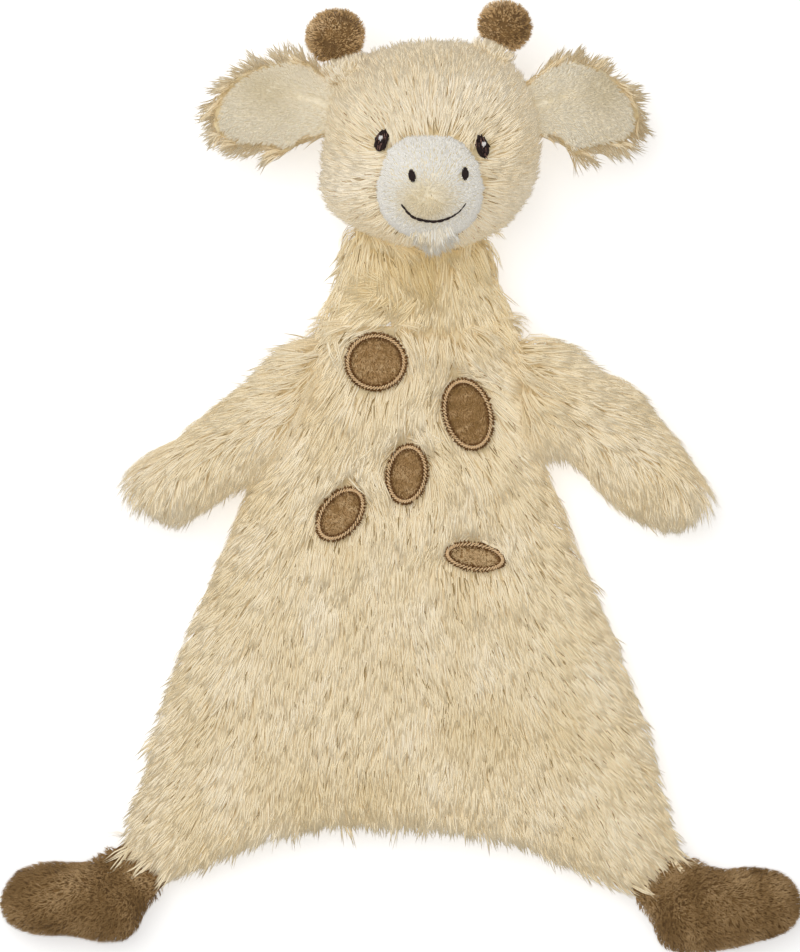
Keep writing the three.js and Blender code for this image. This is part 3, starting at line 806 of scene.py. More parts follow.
PLUSH_COAT = Coat(
    length=2.6 * MM, height=0.6 * MM, width=0.26 * MM, spacing=0.7 * MM, hairs=3,
    gather=0.25, lock_stray=12, hair_stray=10, tone_spread=0.04, profile=SHORT_HAIR,
)
KNOB_COAT = Coat(
    length=1.7 * MM, height=1.3 * MM, width=0.28 * MM, spacing=0.72 * MM, hairs=3,
    gather=0.3, lock_stray=60, hair_stray=18, edge_trim=0.0, profile=SHORT_HAIR,
)
FOOT_COAT = Coat(
    length=2.4 * MM, height=1.2 * MM, width=0.3 * MM, spacing=0.84 * MM, hairs=3,
    gather=0.3, lock_stray=32, hair_stray=16, edge_trim=0.1, profile=SHORT_HAIR,
)
SPOT_COAT = Coat(
    length=1.9 * MM, height=0.7 * MM, width=0.25 * MM, spacing=0.62 * MM, hairs=3,
    gather=0.3, lock_stray=40, hair_stray=16, profile=SHORT_HAIR,
)
FRINGE_COAT = Coat(
    length=1.35 * MM, height=0.45 * MM, width=0.26 * MM, spacing=0.3 * MM, hairs=3,
    gather=0.3, profile=SHORT_HAIR,
)


@dataclass
class Lay:
    """Where a pile grows and which way it is combed.

    Attributes:
        comb: the way that it lies, from points and normals.
        bare: ovals that it leaves free.
        thin_back: the share of the locks that grow on the back.
        grows: which roots have locks, from points and normals.
        scale: how long the locks are, as shares of the coat's length, from points.
        tone: how much lighter they are, from points.
        edge_lift: how much higher they stand where the cloth is upright.
        tuck: how far inside the rim of a bare oval they may have their roots.
    """

    comb: Comb
    bare: tuple[Oval, ...] = ()
    thin_back: float = 1.0
    grows: Callable[[Points, Points], np.ndarray] | None = None
    scale: Callable[[Points], np.ndarray] | None = None
    tone: Callable[[Points], np.ndarray] | None = None
    edge_lift: float = 0.3
    tuck: float = 1.8 * MM


class Pile:
    """Grows a pile of closed, tapering hairs on a skin."""

    def __init__(self, coat: Coat, lay: Lay, seed: int) -> None:
        """Keeps the coat, the lay and the seed of every random draw."""
        self.coat = coat
        self.lay = lay
        self.seed = seed
        self.rng = np.random.default_rng(seed)

    def roots(self, skin: bpy.types.Object) -> tuple[Points, Points]:
        """Evenly scattered places on a skin, and the skin's normals there."""
        mesh = skin.data
        mesh.calc_loop_triangles()
        corners = np.empty(len(mesh.loop_triangles) * 3, np.int32)
        mesh.loop_triangles.foreach_get("vertices", corners)
        corners = corners.reshape(-1, 3)
        points, normals = places(skin), facings(skin)
        a, b, c = (points[corners[:, i]] for i in range(3))
        areas = np.linalg.norm(np.cross(b - a, c - a), axis=1) / 2
        tries = int(5 * areas.sum() / self.coat.spacing ** 2)
        picks = np.searchsorted(np.cumsum(areas), self.rng.random(tries) * areas.sum())
        picks = np.minimum(picks, len(corners) - 1)
        first, second = np.sqrt(self.rng.random(tries)), self.rng.random(tries)
        shares = np.stack([1 - first, first * (1 - second), first * second], axis=1)[:, :, None]
        found = (points[corners[picks]] * shares).sum(1)
        facing = unit((normals[corners[picks]] * shares).sum(1))
        cells = np.floor(found / self.coat.spacing).astype(np.int64)
        _, kept = np.unique(cells, axis=0, return_index=True)
        kept.sort()
        return found[kept], facing[kept]

    def kept(self, roots: Points, normals: Points) -> np.ndarray:
        """Which locks grow: those on furry cloth, with fewer on the back."""
        keep = (unit(self.lay.comb(roots, normals)) * normals).sum(1) > -0.8
        if self.lay.grows is not None:
            keep &= self.lay.grows(roots, normals)
        on_back = normals[:, 2] < -0.5
        keep &= ~on_back | (self.rng.random(len(roots)) < self.lay.thin_back)
        for oval in self.lay.bare:
            keep &= (oval.grown(-self.lay.tuck).share(roots) > 1) | (normals[:, 2] < 0)
        return keep

    def directions(self, roots: Points, normals: Points) -> Points:
        """Which way each lock lies, along the cloth and strayed a little."""
        combed = self.round_ovals(roots, unit(self.lay.comb(roots, normals)))
        facing = (combed * normals).sum(1)
        drawn = np.where(facing > 0, 0.62, 1.0) * facing
        lying = unit(combed - drawn[:, None] * normals)
        side = unit(np.cross(normals, lying))
        stray = math.radians(self.coat.lock_stray)
        turn = stray * (0.7 * self.rng.normal(size=len(roots)) + 0.6 * ripples(roots, 14 * MM, self.seed + 1))
        return unit(lying * np.cos(turn)[:, None] + side * np.sin(turn)[:, None])

    def round_ovals(self, roots: Points, combed: Points) -> Points:
        """Directions turned aside where they would run into an embroidered oval."""
        for oval in self.lay.bare:
            inward = np.zeros_like(roots)
            inward[:, :2] = unit(oval.centre - roots[:, :2])
            toward = np.clip((combed * inward).sum(1), 0, 1)
            beside = np.stack([-inward[:, 1], inward[:, 0], np.zeros(len(roots))], axis=1)
            beside *= np.where((combed * beside).sum(1) < 0, -1, 1)[:, None]
            reach = (oval.share(roots) - 1) * oval.half.mean() / self.coat.length
            near = toward * (1 - smooth_share(reach / 0.9)) * (oval.share(roots) > 1)
            combed = unit(combed + near[:, None] * (0.9 * beside - 0.75 * inward))
        return combed

    def clear_lengths(self, roots: Points, ways: Points, lengths: np.ndarray) -> np.ndarray:
        """Lengths cut short where a lock would lie over an embroidered oval."""
        cut = lengths.copy()
        steps = np.linspace(0, 1, 9)[1:]
        for oval in self.lay.bare:
            path = roots[:, None] + ways[:, None] * (lengths[:, None] * steps)[:, :, None]
            inside = (oval.share(path) < 1) & (oval.share(roots) > 1)[:, None]
            first = np.where(inside.any(1), inside.argmax(1), len(steps))
            cut = np.minimum(cut, lengths * first / len(steps))
        return cut

    def grow(self, name: str, skin: bpy.types.Object) -> list[bpy.types.Object]:
        """Grows the pile.

        Args:
            name: what its pieces' names start with.
            skin: the cloth that it grows on.

        Returns:
            The pieces, none with more hairs than the coat allows.
        """
        coat, rng = self.coat, self.rng
        roots, normals = self.roots(skin)
        keep = self.kept(roots, normals)
        roots, normals = roots[keep], normals[keep]
        ways = self.directions(roots, normals)
        scale = np.ones(len(roots)) if self.lay.scale is None else self.lay.scale(roots)
        full = coat.length * scale * (1 + coat.length_spread * rng.normal(size=len(roots)).clip(-2, 2))
        combed = unit(self.lay.comb(roots, normals))
        full *= 1 - coat.edge_trim * np.clip((combed * normals).sum(1), 0, 1)
        lengths = self.clear_lengths(roots, ways, full)
        long_enough = lengths > 0.3 * full
        roots, normals, ways, lengths, full, scale = (
            values[long_enough] for values in (roots, normals, ways, lengths, full, scale)
        )
        tones = 0.52 + 0.5 * coat.tone_spread * rng.normal(size=len(roots))
        tones += 0.09 * ripples(roots, 22 * MM, self.seed + 2)
        if self.lay.tone is not None:
            tones += self.lay.tone(roots)
        lift = 1 + self.lay.edge_lift * (1 - np.abs(normals[:, 2]))
        heights = coat.height * lift * rng.uniform(0.82, 1.1, len(roots)) * np.sqrt(lengths / full)
        for oval in self.lay.bare:
            heights *= 0.35 + 0.65 * smooth_share((oval.share(roots) - 1) * oval.half.mean() / (3 * MM))
        pieces = max(1, math.ceil(len(roots) * coat.hairs / coat.most_hairs))
        order = np.argsort(-roots[:, 1], kind="stable")
        made = []
        for number, chosen in enumerate(np.array_split(order, pieces), 1):
            label = f"{name}_{number}" if pieces > 1 else name
            given = (values[chosen] for values in (roots, normals, ways, lengths, heights, tones))
            made.append(self.weave(label, *given))
        return made

    def dress(
        self, name: str, skin: bpy.types.Object, finish: PileFinish, attach: Attach
    ) -> None:
        """Grows the pile and finishes each of its pieces.

        Args:
            name: what its pieces' names start with.
            skin: the cloth that it grows on.
            finish: its colours.
            attach: what makes it ride on a body, or at a seam only bakes its place into its mesh.
        """
        for piece in self.grow(name, skin):
            finish_piece(piece, finish, attach)

    def weave(
        self,
        name: str,
        roots: Points,
        normals: Points,
        ways: Points,
        lengths: np.ndarray,
        heights: np.ndarray,
        tones: np.ndarray,
    ) -> bpy.types.Object:
        """One piece of the hairs of many locks.

        Args:
            name: the piece's name.
            roots: the middle of each lock's root.
            normals: the cloth's normals there.
            ways: which way each lock lies.
            lengths: how long each lock is.
            heights: how far each lock stands off the cloth.
            tones: how light each lock is, from 0 to 1.

        Returns:
            The piece.
        """
        coat, rng = self.coat, self.rng
        shape = (len(roots), coat.hairs)
        sides = unit(np.cross(normals, ways))
        ups = unit(np.cross(ways, sides))
        ups = np.where(((ups * normals).sum(1) < 0)[:, None], -ups, ups)
        angle, radius = rng.uniform(0, 2 * math.pi, shape), 0.75 * coat.spacing * np.sqrt(rng.random(shape))
        across, behind = radius * np.cos(angle), radius * np.sin(angle)
        tip_noise = 0.18 * coat.spacing * rng.normal(size=shape)
        stray = np.tan(math.radians(coat.hair_stray)) * rng.normal(size=shape)
        curl = coat.curl * rng.normal(size=shape)
        length = lengths[:, None] * rng.uniform(0.8, 1.05, shape)
        height = heights[:, None] * rng.uniform(0.88, 1.1, shape)
        girth = coat.width * rng.uniform(0.7, 1.25, shape)
        tone = tones[:, None] + coat.tone_spread * rng.normal(size=shape)
        tone = np.clip(tone, LOWEST_TONE, HIGHEST_TONE)
        # Painted shade: a few hairs are thin, short and dark, for the gaps between locks.
        gap_shade = rng.random(shape) < coat.gap_shades
        tone[gap_shade] = GAP_SHADE_TONE
        girth[gap_shade] *= 0.5
        length[gap_shade] *= 0.5
        rings = []
        for t, rise, run in zip(coat.profile.places, coat.profile.rise, coat.profile.run):
            sideways = across * (1 - coat.gather * t) + tip_noise * t + length * (stray * t * t)
            sideways += length * curl * math.sin(math.pi * t)
            forward = behind * (1 - coat.gather * t) + length * run
            upward = height * rise - coat.sink * (1 - t)
            place = roots[:, None] + sides[:, None] * sideways[..., None]
            place = place + ways[:, None] * forward[..., None] + ups[:, None] * upward[..., None]
            rings.append(place)
        corners = []
        for place, share in zip(rings, coat.profile.girth):
            half = (girth * share / 2)[..., None]
            corners += [place - sides[:, None] * half, place + sides[:, None] * half]
            corners.append(place + ups[:, None] * half * coat.profile.thickness)
        corners.append(rings[-1])
        points = np.stack(corners, axis=2).reshape(-1, 3)
        points[:, 2] = np.maximum(points[:, 2], 0.1 * MM)
        return hair_mesh(name, points, tone.ravel(), coat.profile)


def hair_mesh(name: str, points: Points, tones: np.ndarray, profile: Profile) -> bpy.types.Object:
    """A piece of hairs.

    Args:
        name: the piece's name.
        points: the points of every hair, one hair after another.
        tones: how light each hair is.
        profile: the sections of a hair.

    Returns:
        The piece, with its map from root to tip.
    """
    faces, shares = profile.template()
    each = len(shares)
    sample = points[:each] - points[:each].mean(0)
    volume = sum(
        float(np.dot(sample[face[0]], np.cross(sample[face[k]], sample[face[k + 1]])))
        for face in faces
        for k in range(1, len(face) - 1)
    )
    if volume < 0:
        faces = [face[::-1] for face in faces]
    corners = np.concatenate(faces)
    count = len(tones)
    loops = (corners[None, :] + each * np.arange(count)[:, None]).ravel()
    sizes = np.tile([len(face) for face in faces], count)
    mesh = bpy.data.meshes.new(name)
    mesh.vertices.add(len(points))
    mesh.vertices.foreach_set("co", points.ravel())
    mesh.loops.add(len(loops))
    mesh.loops.foreach_set("vertex_index", loops.astype(np.int32))
    mesh.polygons.add(len(sizes))
    mesh.polygons.foreach_set("loop_start", np.concatenate([[0], np.cumsum(sizes)[:-1]]).astype(np.int32))
    mesh.update(calc_edges=True)
    layer = mesh.uv_layers.new(name=PILE_MAP)
    across = tones[:, None] + HAIR_MAP_WIDTH * shares[corners, 0][None, :]
    along = np.broadcast_to(0.02 + 0.96 * shares[corners, 1][None, :], across.shape)
    layer.data.foreach_set("uv", np.stack([across, along], axis=2).ravel().astype(np.float32))
    return add_piece(name, mesh)


class Ground:
    """A surface that stitches are laid on."""

    def __init__(self, skin: bpy.types.Object) -> None:
        """Reads the surface of a skin."""
        self.tree = BVHTree.FromObject(skin, bpy.context.evaluated_depsgraph_get())

    def drop(self, x: float, y: float) -> tuple[Points, Points]:
        """The point under a place, seen from above, and the normal there."""
        point, normal, _, _ = self.tree.ray_cast(Vector((x, y, 1.0)), Vector((0, 0, -1)))
        if point is None:
            point, normal, _, _ = self.tree.find_nearest(Vector((x, y, 0.02)))
        return np.array(point), np.array(normal)

    def level(self, x: float, y: float) -> float:
        """The height of the surface under a place."""
        return float(self.drop(x, y)[0][2])

    def settle(self, piece: bpy.types.Object) -> None:
        """Raises each point of a piece by the height of the surface under it."""
        points = places(piece)
        points[:, 2] += [self.level(x, y) for x, y in points[:, :2]]
        set_places(piece, points)


@dataclass(frozen=True)
class Stitch:
    """One short stitch of thread, thick in the middle and drawn down at its ends."""

    length: float
    width: float
    arch: float

    def template(self) -> tuple[Points, list[list[int]]]:
        """The points and faces of one stitch along X, with its middle at the origin."""
        bpy.ops.object.select_all(action="DESELECT")
        bpy.ops.mesh.primitive_cylinder_add(
            vertices=8, radius=self.width / 2, depth=self.length, rotation=(0, math.pi / 2, 0)
        )
        stitch = bpy.context.object
        bpy.ops.object.transform_apply(location=False, rotation=True, scale=True)
        with editing(stitch):
            for share in (-0.42, -0.2, 0.0, 0.2, 0.42):
                bpy.ops.mesh.select_all(action="SELECT")
                bpy.ops.mesh.bisect(plane_co=(share * self.length, 0, 0), plane_no=(1, 0, 0))
        points = places(stitch)
        out = np.abs(points[:, 0]) / (self.length / 2)
        points[:, 1:] *= np.sqrt(np.clip(1 - 0.75 * out ** 4, 0.05, 1))[:, None]
        points[:, 2] += self.arch * (1 - out ** 2)
        faces = [list(face.vertices) for face in stitch.data.polygons]
        mesh = stitch.data
        bpy.data.objects.remove(stitch)
        bpy.data.meshes.remove(mesh)
        return points, faces


@dataclass
class Embroidery:
    """Stitches laid one by one and joined in a piece."""

    stitch: Stitch
    frames: list[Points] = field(default_factory=list)

    def lay(
        self, middle: Points, along: Points, normal: Points, length: float = 1.0, width: float = 1.0
    ) -> None:
        """Lays a stitch.

        Args:
            middle: its middle.
            along: which way it runs.
            normal: which way is up.
            length: its length, as a share of the usual one.
            width: its width, as a share of the usual one.
        """
        run = unit(along - (along @ normal) * normal)
        side = np.cross(normal, run)
        place = np.eye(4)
        place[:3, 0], place[:3, 1], place[:3, 2] = run * length, side * width, normal * width
        place[:3, 3] = middle
        self.frames.append(place)

    def points(self) -> tuple[Points, list[list[int]]]:
        """The points and faces of all the stitches."""
        points, faces = self.stitch.template()
        homogeneous = np.hstack([points, np.ones((len(points), 1))])
        laid = np.concatenate([(homogeneous @ place.T)[:, :3] for place in self.frames])
        count = len(points)
        copies = [[corner + count * k for corner in face] for k in range(len(self.frames)) for face in faces]
        return laid, copies

    def piece(self, name: str) -> bpy.types.Object:
        """The stitches as one piece."""
        mesh = bpy.data.meshes.new(name)
        points, faces = self.points()
        mesh.from_pydata(points.tolist(), [], faces)
        mesh.update()
        return add_piece(name, mesh)


def oval_pad(name: str, oval: Oval, low: float, top: float, crown: float) -> bpy.types.Object:
    """A flat pad of cloth with a rounded rim and a low crown.

    Args:
        name: the piece's name.
        oval: its outline.
        low: the height of its underside above the cloth that it is settled on.
        top: the height of its rim above that cloth.
        crown: how much higher its middle is than its rim.

    Returns:
        The pad, with no material yet.
    """
    bpy.ops.object.select_all(action="DESELECT")
    bpy.ops.mesh.primitive_cylinder_add(
        vertices=40, radius=1, depth=top - low, location=(0, 0, (low + top) / 2)
    )
    pad = bpy.context.object
    pad.name = pad.data.name = name
    bpy.ops.object.transform_apply(location=True, rotation=False, scale=False)
    with editing(pad):
        bpy.ops.object.mode_set(mode="OBJECT")
        for face in pad.data.polygons:
            face.select = face.normal.z > 0.9
        bpy.ops.object.mode_set(mode="EDIT")
        for _ in range(5):
            bpy.ops.mesh.inset(thickness=0.17)
    points = places(pad)
    out = np.linalg.norm(points[:, :2], axis=1)
    on_top = points[:, 2] > top - 1e-7
    points[on_top, 2] += crown * (1 - out[on_top] ** 2)
    points[:, :2] = oval.centre + (points[:, :2] * oval.half) @ oval.axes
    set_places(pad, points)
    return pad


@dataclass
class Spot:
    """A short plush spot on the front, with a twisted thread and a dark fringe round it.

    All its heights are above the cloth under it.
    """

    number: int
    ground: Ground
    coat: Coat = SPOT_COAT
    fringe: Coat = FRINGE_COAT
    thread: Stitch = Stitch(length=1.6 * MM, width=0.5 * MM, arch=0.1 * MM)
    thread_slant: float = 33.0
    thread_spacing: float = 0.9 * MM
    fringe_spacing: float = 0.12 * MM
    rim: float = 1.1 * MM
    tones: tuple[float, ...] = (0.0, -0.16, 0.04, 0.04, 0.42)

    def build(self) -> None:
        """Makes the plush, the thread and the fringe."""
        attach = riding("torso")
        line = Oval.of(f"spot_border_{self.number}").grown(-0.85 * MM)
        inner = Oval.of(f"spot_{self.number}").grown(0.75 * MM)
        pad = oval_pad(f"spot_pad_{self.number}", inner, self.rim - 4 * MM, self.rim, 0.5 * MM)
        self.ground.settle(pad)
        finish_piece(pad, Finishes.SPOT_BACKING, attach, (f"spot_{self.number}",))
        lay = Lay(
            comb=lambda points, normals: np.tile([0.15, -1.0, 0.3], (len(points), 1)),
            grows=lambda points, normals: normals[:, 2] > 0.5,
            tone=self.tone,
        )
        pile = Pile(self.coat, lay, 300 + self.number)
        pile.dress(f"spot_plush_{self.number}", pad, Finishes.SPOT, attach)
        self.sew_thread(line, self.rim + 1.2 * MM)
        self.sew_fringe(line, self.rim + 0.85 * MM)

    def tone(self, points: Points) -> np.ndarray:
        """Mottled, and lighter or darker from spot to spot."""
        return 0.22 * ripples(points, 3.5 * MM, 40 + self.number) + self.tones[self.number - 1]

    def sew_thread(self, line: Oval, height: float) -> None:
        """The light thread, as slanted turns of its twist."""
        count = int(line.perimeter / self.thread_spacing)
        twist = Embroidery(self.thread)
        slant = math.radians(self.thread_slant)
        for k in range(count):
            place, after = line.at(k / count), line.at((k + 0.5) / count)
            along = unit(after - place)
            turned = np.array([
                along[0] * math.cos(slant) - along[1] * math.sin(slant),
                along[0] * math.sin(slant) + along[1] * math.cos(slant),
                0.0,
            ])
            twist.lay(np.array([*place, height + self.ground.level(*place)]), turned, UP)
        piece = twist.piece(f"spot_thread_{self.number}")
        nodes = (f"spot_border_{self.number}",)
        finish_piece(piece, Finishes.TAN_THREAD, riding("torso"), nodes)

    def sew_fringe(self, line: Oval, height: float) -> None:
        """The dark fringe, combed out on one side of the thread and in on the other."""
        rng = np.random.default_rng(500 + self.number)
        count = int(line.perimeter / self.fringe_spacing)
        turns = (np.arange(count) + rng.random(count)) / count
        pile = Pile(self.fringe, Lay(comb=lambda points, normals: points), 520 + self.number)
        roots, ways = [], []
        for turn, outward in zip(turns, np.where(rng.random(count) < 0.55, 1, -1)):
            place = line.at(turn)
            away = unit(line.at(turn, 1.1) - place) * outward
            roots.append([*(place + away * 0.1 * MM), height + self.ground.level(*place)])
            ways.append([*away, 0.0])
        ways = unit(np.array(ways) + 0.3 * rng.normal(size=(count, 3)) * [1, 1, 0])
        lengths = self.fringe.length * rng.uniform(0.7, 1.15, count)
        heights = np.full(count, self.fringe.height)
        tones = 0.4 + 0.2 * rng.normal(size=count)
        name = f"spot_fringe_{self.number}"
        piece = pile.weave(name, np.array(roots), np.tile(UP, (count, 1)), ways, lengths, heights, tones)
        finish_piece(piece, Finishes.FRINGE, riding("torso"))


def spot_rims() -> tuple[Oval, ...]:
    """The outlines of the spots' borders, which the long pile leaves bare."""
    return tuple(Oval.of(f"spot_border_{number}").grown(0.1 * MM) for number in SPOTS)


@dataclass
class Torso:
    """The flat body: two furry panels with no wadding, and five spots on the front."""

    coat: Coat = LONG_COAT
    sewing: Sewing = Sewing(inset=2.6 * MM, overhang=6.5 * MM, voxel=2.6 * MM)
    nodes: tuple[str, ...] = ("torso_front_panel", "torso_back_panel")
    shoulder: float = 17 * MM
    top_half: float = 28.5 * MM

    def half_width(self, y: np.ndarray) -> np.ndarray:
        """Half the width of the body, which widens toward the hem."""
        low, high = body_box("torso")
        hem_half = (high[0] - low[0]) / 2
        share = np.clip((high[1] - y) / (high[1] - low[1]), 0, 1)
        return self.top_half + (hem_half - self.top_half) * share

    def even_edges(self, skin: bpy.types.Object) -> None:
        """Moves the hem, which its pile hangs from, and fills out the left side and the shoulders."""
        points = places(skin)
        near = 1 - smooth_share((points[:, 1] - body_box("torso")[0][1]) / (55 * MM))
        rise = np.zeros(len(points))
        for height, x, wide in ((6.5, -20, 22), (3.2, 18, 20), (-2.6, 56, 16)):
            rise += height * MM * bump((points[:, 0], x * MM, wide * MM))
        points[:, 1] += near * rise
        side = smooth_share((-points[:, 0] - 15 * MM) / (25 * MM))
        points[:, 0] -= 1.2 * MM * side * bump((points[:, 1], -42 * MM, 28 * MM))
        outward = np.ones_like(points)
        outward[:, 0] = np.sign(points[:, 0])
        filled = self.near_corner(points)[:, None] * np.array([1.8, 0.8, 0]) * MM
        set_places(skin, points + filled * outward)

    @staticmethod
    def near_corner(points: Points) -> np.ndarray:
        """How near points are to a shoulder, the corner between the neck and an arm."""
        x, y = np.abs(points[:, 0] - 4 * MM) / MM, points[:, 1] / MM
        return bump((x, 28, 8), (y, 43, 8))

    def corner_lengths(self, points: Points) -> np.ndarray:
        """Shorter hair at the shoulders."""
        return 1 - 0.5 * self.near_corner(points)

    def flow(self, points: Points, normals: Points) -> Points:
        """Down the body, and out toward its edges."""
        side = points[:, 0] / self.half_width(points[:, 1])
        out = 0.22 * side + 0.55 * np.sign(side) * np.abs(side) ** 4
        swirl = 0.12 * ripples(points, 45 * MM, 11)
        return np.stack([out + swirl, np.full(len(points), -1.0), np.zeros(len(points))], axis=1)

    @staticmethod
    def tone(points: Points) -> np.ndarray:
        """Painted shade in two wide patches, standing for places where the pile parts a little."""
        x, y = points[:, 0] / MM, points[:, 1] / MM
        return -0.3 * (bump((x, -18, 17), (y, -91, 9)) + bump((x, 29, 14), (y, -72, 9)))

    def comb(self, points: Points, normals: Points) -> Points:
        """The flow of the pile, turned out toward the arms and the feet at their seams."""
        combed = self.flow(points, normals)
        for side in Side:
            for limb, share in (("arm", 1.0), ("foot", 0.6)):
                fold = Fold.of(f"{limb}_{side.value}_fold")
                near = bump((fold.reach(points), 0, self.shoulder))
                combed = combed + share * near[:, None] * fold.along
        return combed

    def build(self) -> None:
        """Makes the skin, the spots and the pile round them."""
        attach = riding("torso")
        skin = self.sewing.skin("torso_skin", self.nodes, self.flow)
        self.even_edges(skin)
        finish_piece(skin, Finishes.BACKING, attach, self.nodes)
        ground = Ground(skin)
        for number in SPOTS:
            Spot(number, ground).build()
        lay = Lay(
            comb=self.comb, bare=spot_rims(), thin_back=0.25, scale=self.corner_lengths, tone=self.tone
        )
        Pile(self.coat, lay, 1).dress("torso_pile", skin, Finishes.LONG, attach)


@dataclass(frozen=True)
class Bulge:
    """A place, seen from above and in millimetres, where a skin is pushed out or in.

    Attributes:
        middle: where it is.
        way: which way its middle is pushed, and how far.
        wide: how wide it is.
    """

    middle: tuple[float, float]
    way: tuple[float, float, float]
    wide: float

    def near(self, points: Points) -> np.ndarray:
        """How near points are to it, 1 in its middle."""
        return bump((np.linalg.norm(points[:, :2] / MM - self.middle, axis=1), 0, self.wide))

    def push(self, points: Points) -> Points:
        """How far it moves points."""
        return self.near(points)[:, None] * np.array(self.way) * MM


@dataclass
class Limb:
    """A stuffed arm or foot, sewn on at the seam where it would fold.

    Attributes:
        name: arm or foot.
        side: its side of the toy.
        coat: its pile.
        finish: the colours of the pile.
        backing: the cloth that the pile grows from.
        slot: the record's slot; not used.
        sewing: how its skin is made.
        seed: the seed of its pile.
        flare: how far the pile spreads toward the edges.
        hang: how far the pile of the lower edge hangs down the picture.
        shoulder: how far the upper corner of the root is filled.
        armpit: how far the lower corner of the root is lifted.
        mottle: how uneven the pile's tone is.
        nudge: how far the limb is moved, in millimetres.
        widening: how much wider it is than its solids.
        bulges: where its skin is pushed out or in.
        pinch: how much thinner it is at the seam.
        fur_start: how far out from the seam its pile starts.
        seam_level: the height that it thins toward.
        half_width: half its width, for the hang of its pile.
        root_depth: how far its root is drawn into the body.
        root_span: how far out from the seam it stretches for that.
    """

    name: str
    side: Side
    coat: Coat
    finish: PileFinish
    backing: BackingFinish
    slot: Slot
    sewing: Sewing
    seed: int
    flare: float = 0.35
    hang: float = 0.0
    shoulder: float = 0.0
    armpit: float = 0.0
    mottle: float = 0.0
    nudge: tuple[float, float] = (0.0, 0.0)
    widening: float = 0.0
    bulges: tuple[Bulge, ...] = ()
    pinch: float = 0.0
    fur_start: float = -100 * MM
    seam_level: float = 7.5 * MM
    half_width: float = 14 * MM
    root_depth: float = 6.5 * MM
    root_span: float = 9 * MM

    @property
    def label(self) -> str:
        """What its body is called, and what its pieces' names start with."""
        return f"{self.name}_{self.side.value}"

    @property
    def nodes(self) -> tuple[str, ...]:
        """The limb's solids."""
        parts = ("front_panel", "back_panel", "filling")
        return tuple(f"{self.name}_{part}_{self.side.value}" for part in parts)

    def comb(self, points: Points, normals: Points) -> Points:
        """Along the limb toward its tip, out toward its edges, and down at the lower one."""
        low, high = body_box(self.label)
        axis = Fold.of(f"{self.label}_fold").along
        away = (points - (low + high) / 2) * [1, 1, 0]
        beside = away - (away @ axis)[:, None] * axis
        spread = axis + self.flare * beside / (0.25 * np.linalg.norm(high - low))
        down = np.array([0.0, -1.0, 0.0])
        below = beside @ down / self.half_width
        hang = self.hang * smooth_share((below + 0.15) / 0.7)[:, None]
        return spread * (1 - hang) + down * hang

    def raise_shoulder(self, skin: bpy.types.Object, fold: Fold) -> None:
        """Fills the corner above the root of the limb, and lifts the one below it."""
        points = places(skin)
        beside = fold.beside(points) / (12 * MM)
        near = 1 - smooth_share(fold.reach(points) / (22 * MM))
        rise = (self.shoulder * smooth_share(beside) + self.armpit * smooth_share(-beside)) * near
        set_places(skin, points + rise[:, None] * fold.upward)

    def move(self, skin: bpy.types.Object, fold: Fold) -> None:
        """Moves and widens the limb a little beyond its seam."""
        points = places(skin)
        away = smooth_share(fold.reach(points) / (14 * MM))
        across = unit(np.cross(UP, fold.along))
        middle = np.mean(body_box(fold.child), axis=0)
        wide = self.widening * ((points - middle) @ across)[:, None] * across
        set_places(skin, points + away[:, None] * (wide + np.array([*self.nudge, 0]) * MM))

    def press(self, skin: bpy.types.Object, fold: Fold) -> None:
        """Makes the bulges and dents, and flattens the skin toward its seam."""
        points = places(skin)
        points = points + sum((bulge.push(points) for bulge in self.bulges), np.zeros_like(points))
        thick = 1 - self.pinch * (1 - smooth_share((fold.reach(points) + 1 * MM) / (13 * MM)))
        points[:, 2] = self.seam_level + (points[:, 2] - self.seam_level) * thick
        set_places(skin, points)

    def build(self) -> None:
        """Makes the skin and its pile."""
        fold = Fold.of(f"{self.label}_fold")
        attach = fold.bending(before=5 * MM, after=9 * MM)
        skin = self.sewing.skin(f"{self.label}_skin", self.nodes, self.comb)
        self.raise_shoulder(skin, fold)
        self.move(skin, fold)
        reach_in(skin, fold.pivot, fold.outward, self.root_depth, self.root_span)
        self.press(skin, fold)
        finish_piece(skin, self.backing, attach, self.nodes)
        lay = Lay(
            comb=self.comb, thin_back=0.5, tone=self.tone,
            grows=lambda points, normals: fold.reach(points) > self.fur_start,
        )
        Pile(self.coat, lay, self.seed).dress(f"{self.label}_pile", skin, self.finish, attach)

    def tone(self, points: Points) -> np.ndarray:
        """Mottled, with painted shade in each crease."""
        dents = (bulge.near(points) for bulge in self.bulges if bulge.way[2] < 0)
        # Painted shade where the skin is pressed in.
        crease_shade = sum(dents, np.zeros(len(points)))
        return self.mottle * ripples(points, 13 * MM, self.seed) - 0.2 * crease_shade


